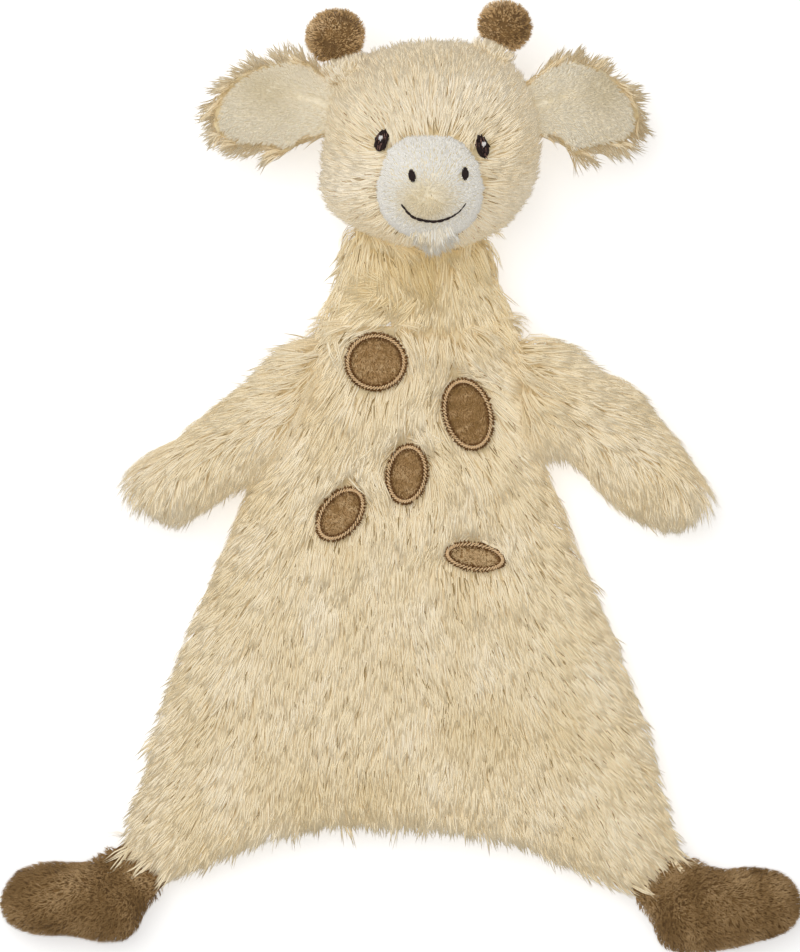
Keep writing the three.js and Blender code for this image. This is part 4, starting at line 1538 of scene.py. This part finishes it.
@dataclass
class Neck:
    """The short neck between the body and the head."""

    coat: Coat = NECK_COAT
    sewing: Sewing = Sewing(inset=2.6 * MM, overhang=3.4 * MM)
    nodes: tuple[str, ...] = ("neck_front_panel", "neck_back_panel", "neck_filling")

    def comb(self, points: Points, normals: Points) -> Points:
        """Down from the chin and fanned out, but turned to the left in the curled patch."""
        low, high = body_box("neck")
        side = (points[:, 0] - (low[0] + high[0]) / 2) / ((high[0] - low[0]) / 2)
        swirl = 0.3 * ripples(points, 24 * MM, 22)
        curl = self.near_curl(points)
        return np.stack([0.55 * side + swirl - 0.9 * curl, 1.1 * curl - 1, np.zeros(len(points))], axis=1)

    @staticmethod
    def near_curl(points: Points) -> np.ndarray:
        """How near points are to the curled patch in the middle of the neck."""
        return bump((points[:, 0] / MM, -1, 9), (points[:, 1] / MM, 54, 4.5))

    @staticmethod
    def tone(points: Points) -> np.ndarray:
        """Painted shadow in the middle under the chin, and darker in the curled patch."""
        low, high = body_box("neck")
        away = (points - (low + high) / 2) / ((high - low) / 2)
        # Painted shadow under the chin.
        painted_chin_shadow = bump((away[:, 0], 0, 0.5), (away[:, 1], 0.2, 0.55))
        return 0.12 - 0.45 * painted_chin_shadow - 0.3 * Neck.near_curl(points)

    @staticmethod
    def shape(skin: bpy.types.Object, fold: Fold, top: float) -> None:
        """Fits the skin to the toy and draws both its ends into the body and the head.

        Args:
            skin: the neck's skin.
            fold: its seam with the body.
            top: the Y of its upper end.
        """
        points = places(skin)
        side = (points[:, 0] - fold.pivot[0]) / (20 * MM)
        flare = 2.5 * MM * side * (1 - smooth_share(fold.reach(points) / (16 * MM)))
        fuller = 2 * MM * smooth_share(side) * smooth_share((fold.reach(points) - 4 * MM) / (8 * MM))
        points[:, 0] += flare + fuller - 1.3 * MM
        set_places(skin, points)
        reach_in(skin, fold.pivot, fold.outward, depth=6.5 * MM, span=9 * MM)
        reach_in(skin, np.array([0, top, 0]), -fold.outward, depth=7 * MM, span=16 * MM)

    def build(self) -> None:
        """Makes the skin, and its pile where neither the head nor a spot covers it."""
        fold = Fold.of("neck_fold")
        attach = fold.bending(before=5 * MM, after=9 * MM)
        top = body_box("neck")[1][1]
        skin = self.sewing.skin("neck_skin", self.nodes, self.comb)
        self.shape(skin, fold, top)
        finish_piece(skin, Finishes.TAN_BACKING, attach, self.nodes)

        def grows(points: Points, normals: Points) -> np.ndarray:
            """Everywhere but at the two upper corners, beside the chin."""
            return (points[:, 1] < top - 6 * MM) | (np.abs(points[:, 0] - fold.pivot[0]) < 14 * MM)

        lay = Lay(comb=self.comb, bare=spot_rims(), thin_back=0.5, tone=self.tone, grows=grows)
        Pile(self.coat, lay, 21).dress("neck_pile", skin, Finishes.NECK, attach)


@dataclass
class Head:
    """The stuffed head: its face, its muzzle and its eyes.

    Attributes:
        coat: the pile of the face.
        muzzle_coat: the short pile of the muzzle.
        chin_coat: the longer tuft at the chin.
        sewing: how the skin of the head is made.
        muzzle_sewing: how the skin of the muzzle is made.
        nodes: the head's solids.
        muzzle_nodes: the muzzle's solids.
        eye_thread: the stitch of the eyes.
        drop: how far down the picture the embroidery lies from its solids.
        eye_lift: how far the eyes' upper side stands off the cloth.
        mouth_shares: points on the line of the mouth, as shares of the muzzle's half size.
    """

    coat: Coat = FACE_COAT
    muzzle_coat: Coat = PLUSH_COAT
    chin_coat: Coat = CHIN_COAT
    sewing: Sewing = Sewing(inset=2.8 * MM, overhang=1.8 * MM)
    muzzle_sewing: Sewing = Sewing(inset=1.1 * MM, voxel=1.6 * MM, levels=1)
    nodes: tuple[str, ...] = ("head_front_panel", "head_back_panel", "head_filling")
    muzzle_nodes: tuple[str, ...] = ("muzzle_cover", "muzzle_filling")
    eye_thread: Stitch = Stitch(length=1.0 * MM, width=0.55 * MM, arch=0.1 * MM)
    drop: float = 1.0 * MM
    eye_lift: float = 2.4 * MM
    mouth_shares: tuple[tuple[float, float], ...] = (
        (-0.52, -0.3), (-0.3, -0.53), (0.02, -0.61), (0.28, -0.57), (0.5, -0.44), (0.66, -0.25)
    )

    def __post_init__(self) -> None:
        """Works out where the muzzle and the chin are."""
        low, high = (np.array(corner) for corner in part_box("muzzle_cover"))
        self.muzzle = (low + high) / 2
        self.muzzle_half = (high - low) / 2
        self.muzzle_front = np.array([*self.muzzle[:2], high[2]])
        self.chin = self.muzzle[:2] + self.muzzle_half[:2] * [0.1, -0.86]

    def comb(self, points: Points, normals: Points) -> Points:
        """Out from the muzzle all round."""
        return (points - self.muzzle_front) * [1.0, 1.05, 0.6]

    def lowered(self, node: str) -> Oval:
        """The outline of an embroidered feature, moved down the picture to where it is stitched."""
        oval = Oval.of(node)
        return Oval(oval.centre - [0, self.drop], oval.half, oval.axes, oval.top)

    @staticmethod
    def shape(skin: bpy.types.Object) -> None:
        """Flattens the crown a little and fills out the left cheek."""
        points = places(skin)
        crown = body_box("head")[1][1]
        top = smooth_share((points[:, 1] - crown + 22 * MM) / (14 * MM))
        points[:, 1] -= 1.8 * MM * (top * bump((points[:, 0], 7 * MM, 17 * MM)))
        cheek = bump((points[:, 1], 75 * MM, 12 * MM)) * smooth_share((-points[:, 0] - 2 * MM) / (14 * MM))
        points[:, 0] -= 5.4 * MM * cheek
        set_places(skin, points)

    def build(self) -> None:
        """Makes the head, the muzzle and the eyes."""
        attach = riding("head")
        skin = self.sewing.skin("head_skin", self.nodes, self.comb)
        self.shape(skin)
        finish_piece(skin, Finishes.BACKING, attach, self.nodes)
        eyes = tuple(self.lowered(f"eye_{side.value}").grown(-0.2 * MM) for side in Side)
        middle = self.muzzle[:2] + [0, 1.2 * MM]
        hidden = Oval(middle, self.muzzle_half[:2] + np.array([-3, -1.8]) * MM, np.eye(2), 0)
        lay = Lay(
            comb=self.comb,
            bare=eyes,
            thin_back=0.4,
            grows=lambda points, normals: (hidden.share(points) > 1) | (normals[:, 2] < 0),
            scale=self.face_lengths,
            tuck=1.2 * MM,
        )
        Pile(self.coat, lay, 31).dress("head_pile", skin, Finishes.FACE, attach)
        face = Ground(skin)
        self.build_muzzle(attach, face)
        for side in Side:
            self.build_eye(side, attach, face)

    def face_lengths(self, points: Points) -> np.ndarray:
        """Shorter hair close to the muzzle, and longer away from it."""
        away = np.linalg.norm(points - self.muzzle_front, axis=1)
        return 0.75 + 0.2 * smooth_share((away - 14 * MM) / (22 * MM))

    def build_muzzle(self, attach: Attach, face: Ground) -> None:
        """The muzzle with its plush, chin tuft, nostrils and mouth.

        Args:
            attach: what makes it ride on the head.
            face: the cloth of the face, which the muzzle is sewn to.
        """
        skin = self.muzzle_sewing.skin("muzzle_skin", self.muzzle_nodes)
        self.seat_muzzle(skin, face)
        finish_piece(skin, Finishes.PALE_BACKING, attach, self.muzzle_nodes)
        ground = Ground(skin)
        nostrils = {side: self.lowered(f"nostril_{side.value}") for side in Side}
        lay = Lay(
            comb=lambda points, normals: (points - self.muzzle) * [1, 1, 0.3] + [0, 0.002, 0],
            bare=tuple(oval.grown(0.15 * MM) for oval in nostrils.values()),
            grows=lambda points, normals: normals[:, 2] > -0.4,
            tone=self.muzzle_tone,
            edge_lift=0.2,
            tuck=0.3 * MM,
        )
        pile = Pile(self.muzzle_coat, lay, 41)
        pile.dress("muzzle_plush", skin, Finishes.WHITE, attach)
        patch = Oval(self.chin, np.array([6.2, 2.4]) * MM, np.eye(2), 0)
        lay = Lay(
            comb=lambda points, normals: (points - [*self.chin, 0]) * [70, 20, 0] + [0.12, -1, 0.1],
            grows=lambda points, normals: patch.share(points) < 1,
            tone=lambda points: np.full(len(points), -0.2),
            scale=lambda points: 1.15 - 0.6 * np.abs(points[:, 0] - self.chin[0]) / patch.half[0],
        )
        pile = Pile(self.chin_coat, lay, 43)
        pile.dress("chin_tuft", skin, Finishes.WHITE, attach)
        for side, oval in nostrils.items():
            threads = Embroidery(Stitch(length=1.0 * MM, width=0.5 * MM, arch=0.12 * MM))
            self.fill_oval(threads, oval, ground, 0.9 * MM)
            piece = threads.piece(f"nostril_thread_{side.value}")
            nodes = (f"nostril_{side.value}",)
            finish_piece(piece, Finishes.DARK_THREAD, attach, nodes)
        self.sew_mouth(ground, attach)

    def seat_muzzle(self, skin: bpy.types.Object, face: Ground) -> None:
        """Fits the muzzle to the toy, and carries the edge of its cover down into the face."""
        points = places(skin)
        local = (points - self.muzzle) / self.muzzle_half
        points[:, 0] += 0.5 * MM * local[:, 0]
        points[:, 1] += 2.2 * MM * smooth_share(local[:, 1])
        under = smooth_share((0.35 - facings(skin)[:, 2]) / 0.5)
        below = np.array([face.level(x, y) for x, y in points[:, :2]]) - 2 * MM
        points[:, 2] += under * np.minimum(below - points[:, 2], 0)
        set_places(skin, points)

    def muzzle_tone(self, points: Points) -> np.ndarray:
        """Whiter toward the muzzle's sides, with a tan stripe down its middle."""
        local = (points - self.muzzle) / self.muzzle_half
        return 0.12 - 0.5 * (bump((local[:, 0], -0.08, 0.42)) * bump((local[:, 1], -0.28, 0.36)))

    def sew_mouth(self, ground: Ground, attach: Attach) -> None:
        """The mouth, as a line of short stitches."""
        controls = np.array(self.mouth_shares) * self.muzzle_half[:2] + self.muzzle[:2]
        line = curve_points(controls, 46)
        stitches = Embroidery(Stitch(length=2.2 * MM, width=0.75 * MM, arch=0.16 * MM))
        for k in range(2, len(line) - 2, 4):
            place, normal = ground.drop(*line[k])
            along = np.array([*(line[k + 2] - line[k - 2]), 0.0])
            slim = float(np.interp(k / len(line), (0, 0.3, 0.6, 0.72, 1), (0.8, 1.25, 1.2, 0.8, 0.4)))
            stitches.lay(place + normal * 0.95 * MM, along, normal, width=slim)
        piece = stitches.piece("mouth_thread")
        finish_piece(piece, Finishes.DARK_THREAD, attach, ("mouth_stitching",))

    @staticmethod
    def fill_oval(threads: Embroidery, oval: Oval, ground: Ground, lift: float) -> None:
        """Fills an oval with threads side by side along its longer way.

        Args:
            threads: what they are laid in.
            oval: what they fill.
            ground: the cloth under them.
            lift: how far they stand off it.
        """
        long_way = int(oval.half.argmax())
        long_half, short_half = oval.half[long_way], oval.half[1 - long_way]
        along, across = oval.axes[long_way], oval.axes[1 - long_way]
        count = max(3, round(2 * short_half / (0.62 * threads.stitch.width)))
        for k in range(count):
            beside = -1 + (2 * k + 1) / count
            chord = long_half * math.sqrt(1 - beside ** 2)
            place, normal = ground.drop(*(oval.centre + across * short_half * beside))
            share = 2 * chord / threads.stitch.length
            threads.lay(place + normal * lift, np.array([*along, 0.0]), normal, length=share)

    def build_eye(self, side: Side, attach: Attach, face: Ground) -> None:
        """An embroidered eye: its pad, its dark threads with a few paler ones, which are painted highlights,
        and a light stitch.
        """
        oval = self.lowered(f"eye_{side.value}").grown(-0.25 * MM)
        inner, rim = oval.grown(-0.3 * MM), self.eye_lift - 0.7 * MM
        pad = oval_pad(f"eye_pad_{side.value}", inner, -2 * MM, rim, 0.2 * MM)
        face.settle(pad)
        finish_piece(pad, Finishes.DARK_THREAD, attach, (f"eye_{side.value}",))
        long_way = oval.axes[int(oval.half.argmax())]
        rng = np.random.default_rng(60 + len(side.value))
        # The paler threads are painted highlights on the dark thread.
        for name, finish, count, lift, width in (
            ("thread", Finishes.DARK_THREAD, 46, 0.62, 1.0),
            ("sliver", Finishes.SLIVER_THREAD, 12, 0.42, 0.55),
        ):
            threads = Embroidery(self.eye_thread)
            for _ in range(count):
                angle, out = rng.uniform(0, 2 * math.pi), math.sqrt(rng.random()) * 0.82
                spot = oval.centre + (oval.half * out * [math.cos(angle), math.sin(angle)]) @ oval.axes
                turn = rng.normal() * 0.22
                along = np.array([long_way[0] - turn * long_way[1], long_way[1] + turn * long_way[0], 0])
                height = face.level(*spot) + self.eye_lift - lift * MM + rng.uniform(0, 0.12) * MM
                threads.lay(np.array([*spot, height]), along, UP, rng.uniform(1.4, 2.6), width)
            piece = threads.piece(f"eye_{name}_{side.value}")
            finish_piece(piece, finish, attach)
        glint = self.lowered(f"eye_glint_{side.value}")
        height = face.level(*glint.centre) + self.eye_lift + glint.top - oval.top + 0.1 * MM
        light = Embroidery(Stitch(length=1.0 * MM, width=0.42 * MM, arch=0.12 * MM))
        for beside, up, length in ((-0.38, 0.1, 1.3), (0.0, -0.1, 1.7), (0.38, 0.15, 1.1)):
            place = np.array([*(glint.centre + np.array([beside, up]) * MM), height])
            light.lay(place, np.array([0.12, 1.0, 0.0]), UP, length)
        piece = light.piece(f"eye_glint_thread_{side.value}")
        nodes = (f"eye_glint_{side.value}",)
        finish_piece(piece, Finishes.LIGHT_THREAD, attach, nodes)


def curve_points(controls: Points, count: int) -> Points:
    """Evenly spaced points on a smooth line through given ones.

    Args:
        controls: the points that it passes through.
        count: how many to give.

    Returns:
        The points.
    """
    padded = np.vstack([2 * controls[0] - controls[1], controls, 2 * controls[-1] - controls[-2]])
    fine = []
    for i in range(1, len(padded) - 2):
        a, b, c, d = padded[i - 1:i + 3]
        for t in np.linspace(0, 1, 24, endpoint=False):
            fine.append(0.5 * (2 * b + (c - a) * t + (2 * a - 5 * b + 4 * c - d) * t ** 2
                               + (3 * b - a - 3 * c + d) * t ** 3))
    fine.append(padded[-2])
    fine = np.array(fine)
    run = np.concatenate([[0], np.cumsum(np.linalg.norm(np.diff(fine, axis=0), axis=1))])
    even = np.linspace(0, run[-1], count)
    return np.stack([np.interp(even, run, fine[:, k]) for k in range(fine.shape[1])], axis=1)


@dataclass
class Ear:
    """An ear: a short plush inner leaf on a larger furry outer leaf.

    Attributes:
        side: its side of the toy.
        seed: the seed of its inner pile; the outer pile has the next one.
        trim: how much shorter the outer fur is at the tip and on the upper side.
        nudge: how far the ear is moved, in millimetres.
        inner_coat: the short pile of the inner leaf.
        outer_coat: the fur of the outer leaf.
        inner_sewing: how the skin of the inner leaf is made.
        outer_sewing: how the skin of the outer leaf is made.
    """

    side: Side
    seed: int
    trim: float
    nudge: tuple[float, float]
    inner_coat: Coat = replace(PLUSH_COAT, spacing=0.72 * MM)
    outer_coat: Coat = EAR_COAT
    inner_sewing: Sewing = Sewing(inset=0.7 * MM, voxel=1.5 * MM, rounds=4, levels=1)
    outer_sewing: Sewing = Sewing(inset=1.4 * MM, overhang=1.5 * MM, voxel=1.5 * MM, rounds=4)

    def build(self) -> None:
        """Makes both leaves and their pile."""
        label = self.side.value
        fold = Fold.of(f"ear_{label}_flap")
        attach = fold.bending(before=4 * MM, after=5 * MM)

        def comb(points: Points, normals: Points) -> Points:
            """Out along the ear, and toward its rim."""
            away = points - fold.pivot
            beside = away - (away @ fold.outward)[:, None] * fold.outward
            return fold.outward * 0.8 + 80 * beside * [1, 1, 0.3]

        def painted_hollow_shade(points: Points) -> np.ndarray:
            """Painted shade in the hollow, which leaves the rim lighter."""
            hollow = bump((fold.reach(points), 15 * MM, 9 * MM), (fold.beside(points), 0, 6 * MM))
            return 0.16 - 0.36 * hollow

        nodes = (f"ear_inner_{label}",)
        inner = self.inner_sewing.skin(f"ear_inner_skin_{label}", nodes)
        self.widen(inner, fold)
        self.crease(inner, fold)
        finish_piece(inner, Finishes.PALE_BACKING, attach, nodes)
        lay = Lay(
            comb=comb, grows=lambda points, normals: normals[:, 2] > -0.1, tone=painted_hollow_shade, edge_lift=0.1
        )
        pile = Pile(self.inner_coat, lay, self.seed)
        pile.dress(f"ear_inner_plush_{label}", inner, Finishes.CREAM, attach)

        nodes = (f"ear_outer_{label}",)
        outer = self.outer_sewing.skin(f"ear_outer_skin_{label}", nodes, comb)
        self.widen(outer, fold)
        finish_piece(outer, Finishes.TAN_BACKING, attach, nodes)
        lay = Lay(
            comb=comb,
            grows=lambda points, normals: normals[:, 2] < 0.85,
            scale=lambda points: self.fur_lengths(points, fold),
        )
        pile = Pile(self.outer_coat, lay, self.seed + 1)
        pile.dress(f"ear_outer_pile_{label}", outer, Finishes.TAN, attach)

    def fur_lengths(self, points: Points, fold: Fold) -> np.ndarray:
        """Shorter fur at the tip and on the upper side, longer on the lower side."""
        tip = smooth_share((fold.reach(points) - 16 * MM) / (12 * MM))
        return 1.1 - self.trim * (tip + smooth_share(fold.beside(points) / (8 * MM)))

    def widen(self, leaf: bpy.types.Object, fold: Fold) -> None:
        """Draws the root of a leaf into the head and spreads it there, and moves the rest to its place."""
        reach_in(leaf, fold.pivot, fold.outward, depth=3.5 * MM, span=5 * MM)
        points = places(leaf)
        out, beside = fold.reach(points), fold.beside(points)
        span = np.where(beside < 0, 12 * MM, 20 * MM)
        spread = 0.43 * (1 - smooth_share((out - 2 * MM) / span))
        nudge = smooth_share(out / (10 * MM))[:, None] * (np.array([*self.nudge, 0]) * MM)
        set_places(leaf, points + (beside * spread)[:, None] * fold.upward + nudge)

    @staticmethod
    def crease(leaf: bpy.types.Object, fold: Fold) -> None:
        """Presses the soft crease into the leaf near its root, and a hollow farther out."""
        points = places(leaf)
        out, beside = fold.reach(points), fold.beside(points)
        near_root = 1 - smooth_share((out - 6 * MM) / (10 * MM))
        depth = 2.6 * MM * bump((beside, 0, 2.2 * MM)) * near_root
        depth += 1.3 * MM * bump((out, 20 * MM, 6 * MM), (beside, 0, 6 * MM))
        on_top = smooth_share((points[:, 2] - fold.pivot[2]) / (2 * MM))
        set_places(leaf, points - (depth * on_top)[:, None] * UP)


@dataclass
class Horn:
    """A horn: a plush stalk with a stuffed brown knob.

    Attributes:
        side: its side of the toy.
        seed: the seed of the stalk's pile; the knob's has the next one.
        stalk_coat: the pile of the stalk.
        knob_coat: the pile of the knob.
        knob_shift: how far the knob is drawn back toward the head.
        knob_scale: how much larger the knob's skin is made.
        stalk_sewing: how the skin of the stalk is made.
        knob_sewing: how the skin of the knob is made.
    """

    side: Side
    seed: int
    stalk_coat: Coat = STALK_COAT
    knob_coat: Coat = KNOB_COAT
    knob_shift: float = 2 * MM
    knob_scale: float = 1.07
    stalk_sewing: Sewing = Sewing(inset=-0.2 * MM, voxel=1.2 * MM, rounds=3)
    knob_sewing: Sewing = Sewing(inset=1.5 * MM, voxel=1.4 * MM, rounds=4, levels=1)

    def build(self) -> None:
        """Makes the stalk and the knob."""
        fold = Fold.of(f"horn_{self.side.value}_bend")
        attach = fold.bending(before=4 * MM, after=4 * MM)
        self.build_stalk(fold, attach)
        self.build_knob(fold, attach)

    @property
    def knob_box(self) -> tuple[Points, Points]:
        """The lowest and highest corner of the knob's solid."""
        low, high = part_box(f"horn_knob_{self.side.value}")
        return np.array(low), np.array(high)

    def build_stalk(self, fold: Fold, attach: Attach) -> None:
        """The stalk, which ends inside the knob, with plush up to the knob."""
        label = self.side.value
        low, high = self.knob_box
        knob_reach = fold.reach((low + high) / 2)
        nodes = (f"horn_stalk_{label}", f"horn_filling_{label}")
        stalk = self.stalk_sewing.skin(f"horn_stalk_skin_{label}", nodes)
        reach_in(stalk, fold.pivot, fold.outward, depth=4 * MM, span=5 * MM)
        points = places(stalk)
        over = np.clip(fold.reach(points) - knob_reach + 3 * MM, 0, None)
        set_places(stalk, points - 0.95 * over[:, None] * fold.outward)
        finish_piece(stalk, Finishes.PALE_BACKING, attach, nodes)
        end = knob_reach - 0.5 * min(high[0] - low[0], high[1] - low[1]) - 2.6 * MM
        lay = Lay(
            comb=lambda points, normals: np.tile(fold.outward, (len(points), 1)) + 0.2 * normals,
            grows=lambda points, normals: fold.reach(points) < end,
        )
        pile = Pile(self.stalk_coat, lay, self.seed)
        pile.dress(f"horn_stalk_plush_{label}", stalk, Finishes.FACE, attach)

    def build_knob(self, fold: Fold, attach: Attach) -> None:
        """The knob, with its pile out all round."""
        label = self.side.value
        low, high = self.knob_box
        centre = (low + high) / 2
        nodes = (f"horn_knob_{label}",)
        knob = self.knob_sewing.skin(f"horn_knob_skin_{label}", nodes)
        moved = centre + (places(knob) - centre) * self.knob_scale
        set_places(knob, moved - fold.outward * self.knob_shift)
        finish_piece(knob, Finishes.BROWN_BACKING, attach, nodes)
        lay = Lay(
            comb=lambda points, normals: (points - centre) + 0.004 * fold.outward,
            # Mottled, with painted light on the upper left of the knob and painted shade on its lower right.
            tone=lambda points: 0.16 * ripples(points, 6 * MM, 7) + (points - centre) @ [-12, 18, 0],
            edge_lift=0,
        )
        pile = Pile(self.knob_coat, lay, self.seed + 1)
        pile.dress(f"horn_knob_plush_{label}", knob, Finishes.KNOB, attach)


@dataclass
class Studio:
    """A pale floor, soft light and a camera straight above.

    Attributes:
        height: how high the camera is.
        level: the height at which the picture is to scale.
        rows: how many rows the photo has.
        row_mm: what a row of it covers, in millimetres.
        aim: the place that the camera looks down on.
        sensor: the camera's sensor, in millimetres.
    """

    height: float = 10.0
    level: float = 12 * MM
    rows: int = 952
    row_mm: float = 0.295
    aim: tuple[float, float] = (-0.3 * MM, -1.6 * MM)
    sensor: float = 36.0

    def build(self) -> None:
        """Makes the camera, the lamps, the world and the floor."""
        bpy.ops.object.select_all(action="DESELECT")
        bpy.ops.object.camera_add(location=(*self.aim, self.height), rotation=(0, 0, 0))
        camera = bpy.context.object
        camera.data.sensor_width = self.sensor
        camera.data.lens = self.sensor * (self.height - self.level) / (self.rows * self.row_mm * MM)
        camera.data.clip_start, camera.data.clip_end = 0.1, 100
        bpy.context.scene.camera = camera
        self.lamp(place=(-0.65, 0.6, 1.65), size=2.0, power=21.0)
        self.lamp(place=(0.7, -0.2, 1.5), size=2.2, power=5.0)
        self.world()
        self.floor()
        bpy.context.scene.view_settings.view_transform = "Standard"

    @staticmethod
    def lamp(place: tuple[float, float, float], size: float, power: float) -> None:
        """A large soft lamp that faces the toy."""
        bpy.ops.object.light_add(type="AREA", location=place)
        lamp = bpy.context.object
        lamp.rotation_euler = (-Vector(place)).to_track_quat("-Z", "Y").to_euler()
        lamp.data.shape = "DISK"
        lamp.data.size = size
        lamp.data.color = (1.0, 0.995, 0.985)
        lamp.data.energy = power

    @staticmethod
    def world() -> None:
        """A white surround that shows white and lights softly."""
        world = bpy.data.worlds.new("surround")
        bpy.context.scene.world = world
        sheet = Sheet(world)
        lit = sheet.node("ShaderNodeBackground", {}, {"Color": (1.0, 0.985, 0.96, 1), "Strength": 0.3})
        shown = sheet.node("ShaderNodeBackground", {}, {"Color": (1, 1, 1, 1), "Strength": 1.0})
        sides = {0: sheet.seen(), 1: lit.outputs[0], 2: shown.outputs[0]}
        mixed = sheet.node("ShaderNodeMixShader", {}, sides)
        sheet.node("ShaderNodeOutputWorld", {}, {"Surface": mixed.outputs[0]})

    @staticmethod
    def floor() -> None:
        """A plain pale floor that keeps the toy's shadow."""
        bpy.ops.object.select_all(action="DESELECT")
        bpy.ops.mesh.primitive_plane_add(size=40, location=(0, 0, 0))
        floor = bpy.context.object
        floor.name = "floor"
        sheet = Sheet(bpy.data.materials.new("pale floor"))
        floor.data.materials.append(sheet.cloth({
            "Base Color": (0.82, 0.82, 0.82, 1),
            "Roughness": 0.9,
            "Specular IOR Level": 0.1,
            "Emission Color": (1, 1, 1, 1),
            "Emission Strength": 0.5 * sheet.seen(),
        }))


def arm(side: Side, seed: int, **fit: object) -> Limb:
    """An arm of long pile.

    Args:
        side: its side of the toy.
        seed: the seed of its pile.
        fit: what differs from the other arm.

    Returns:
        The arm, not built yet.
    """
    return Limb(
        "arm", side, LONG_COAT, Finishes.LONG, Finishes.BACKING, Slot.LONG_PILE,
        Sewing(inset=1.8 * MM, overhang=7 * MM), seed,
        hang=0.8, armpit=3.5 * MM, widening=0.12, **fit,
    )


def foot(side: Side, seed: int, **fit: object) -> Limb:
    """A foot of short brown plush.

    Args:
        side: its side of the toy.
        seed: the seed of its pile.
        fit: what differs from the other foot.

    Returns:
        The foot, not built yet.
    """
    return Limb(
        "foot", side, FOOT_COAT, Finishes.BROWN, Finishes.BROWN_BACKING, Slot.BROWN_PLUSH,
        Sewing(inset=0.5 * MM, overhang=0.4 * MM, voxel=1.8 * MM, levels=1), seed,
        mottle=0.2, widening=0.05, pinch=0.75, fur_start=-1.5 * MM, **fit,
    )


LEFT_ARM_BULGES = (Bulge((-54, 20), (-1.0, 1.2, 0), 10), Bulge((-53, -11), (0, 2.4, 0), 9))
RIGHT_ARM_BULGES = (Bulge((50, -3), (1.2, 1.8, 0), 8), Bulge((52, 38), (-0.4, -1.4, 0), 9))
FOOT_CREASE = ((-85, -118), (-84.8, -123), (-84.2, -128), (-83.6, -133))
LEFT_FOOT_BULGES = (
    Bulge((-78, -134), (-0.6, -0.8, 0), 7),
    Bulge((-72, -130), (-1.8, 0.0, 0), 7),
    Bulge((-96, -134), (0, 1.6, 0), 8),
    *(Bulge(middle, (0, 0, -1.3), 3) for middle in FOOT_CREASE),
)
RIGHT_FOOT_BULGES = (
    Bulge((111, -134), (0.2, -0.6, 0), 7),
    Bulge((79, -106), (-1.0, -2.0, 0), 6),
    Bulge((92, -114), (0, -1.3, 0), 10),
    Bulge((73, -133), (1.8, 0.5, 0), 8),
)


def main() -> None:
    """Builds the toy piece by piece, then the studio."""
    logging.basicConfig(level=logging.INFO, format="%(message)s")
    for part in (
        Torso(),
        Neck(),
        Head(),
        Ear(Side.LEFT, seed=100, trim=0.06, nudge=(0.5, -1.2)),
        Horn(Side.LEFT, seed=140),
        arm(Side.LEFT, seed=180, shoulder=7 * MM, nudge=(2.9, 1.6), bulges=LEFT_ARM_BULGES),
        foot(Side.LEFT, seed=190, nudge=(0.0, 0.2), bulges=LEFT_FOOT_BULGES),
        Ear(Side.RIGHT, seed=110, trim=0.3, nudge=(-2.0, -1.4)),
        Horn(Side.RIGHT, seed=150),
        arm(Side.RIGHT, seed=181, shoulder=3 * MM, nudge=(-0.4, 0.3), bulges=RIGHT_ARM_BULGES),
        foot(Side.RIGHT, seed=191, nudge=(-0.3, -1.0), bulges=RIGHT_FOOT_BULGES),
        Studio(),
    ):
        part.build()


if __name__ == "__main__":
    main()
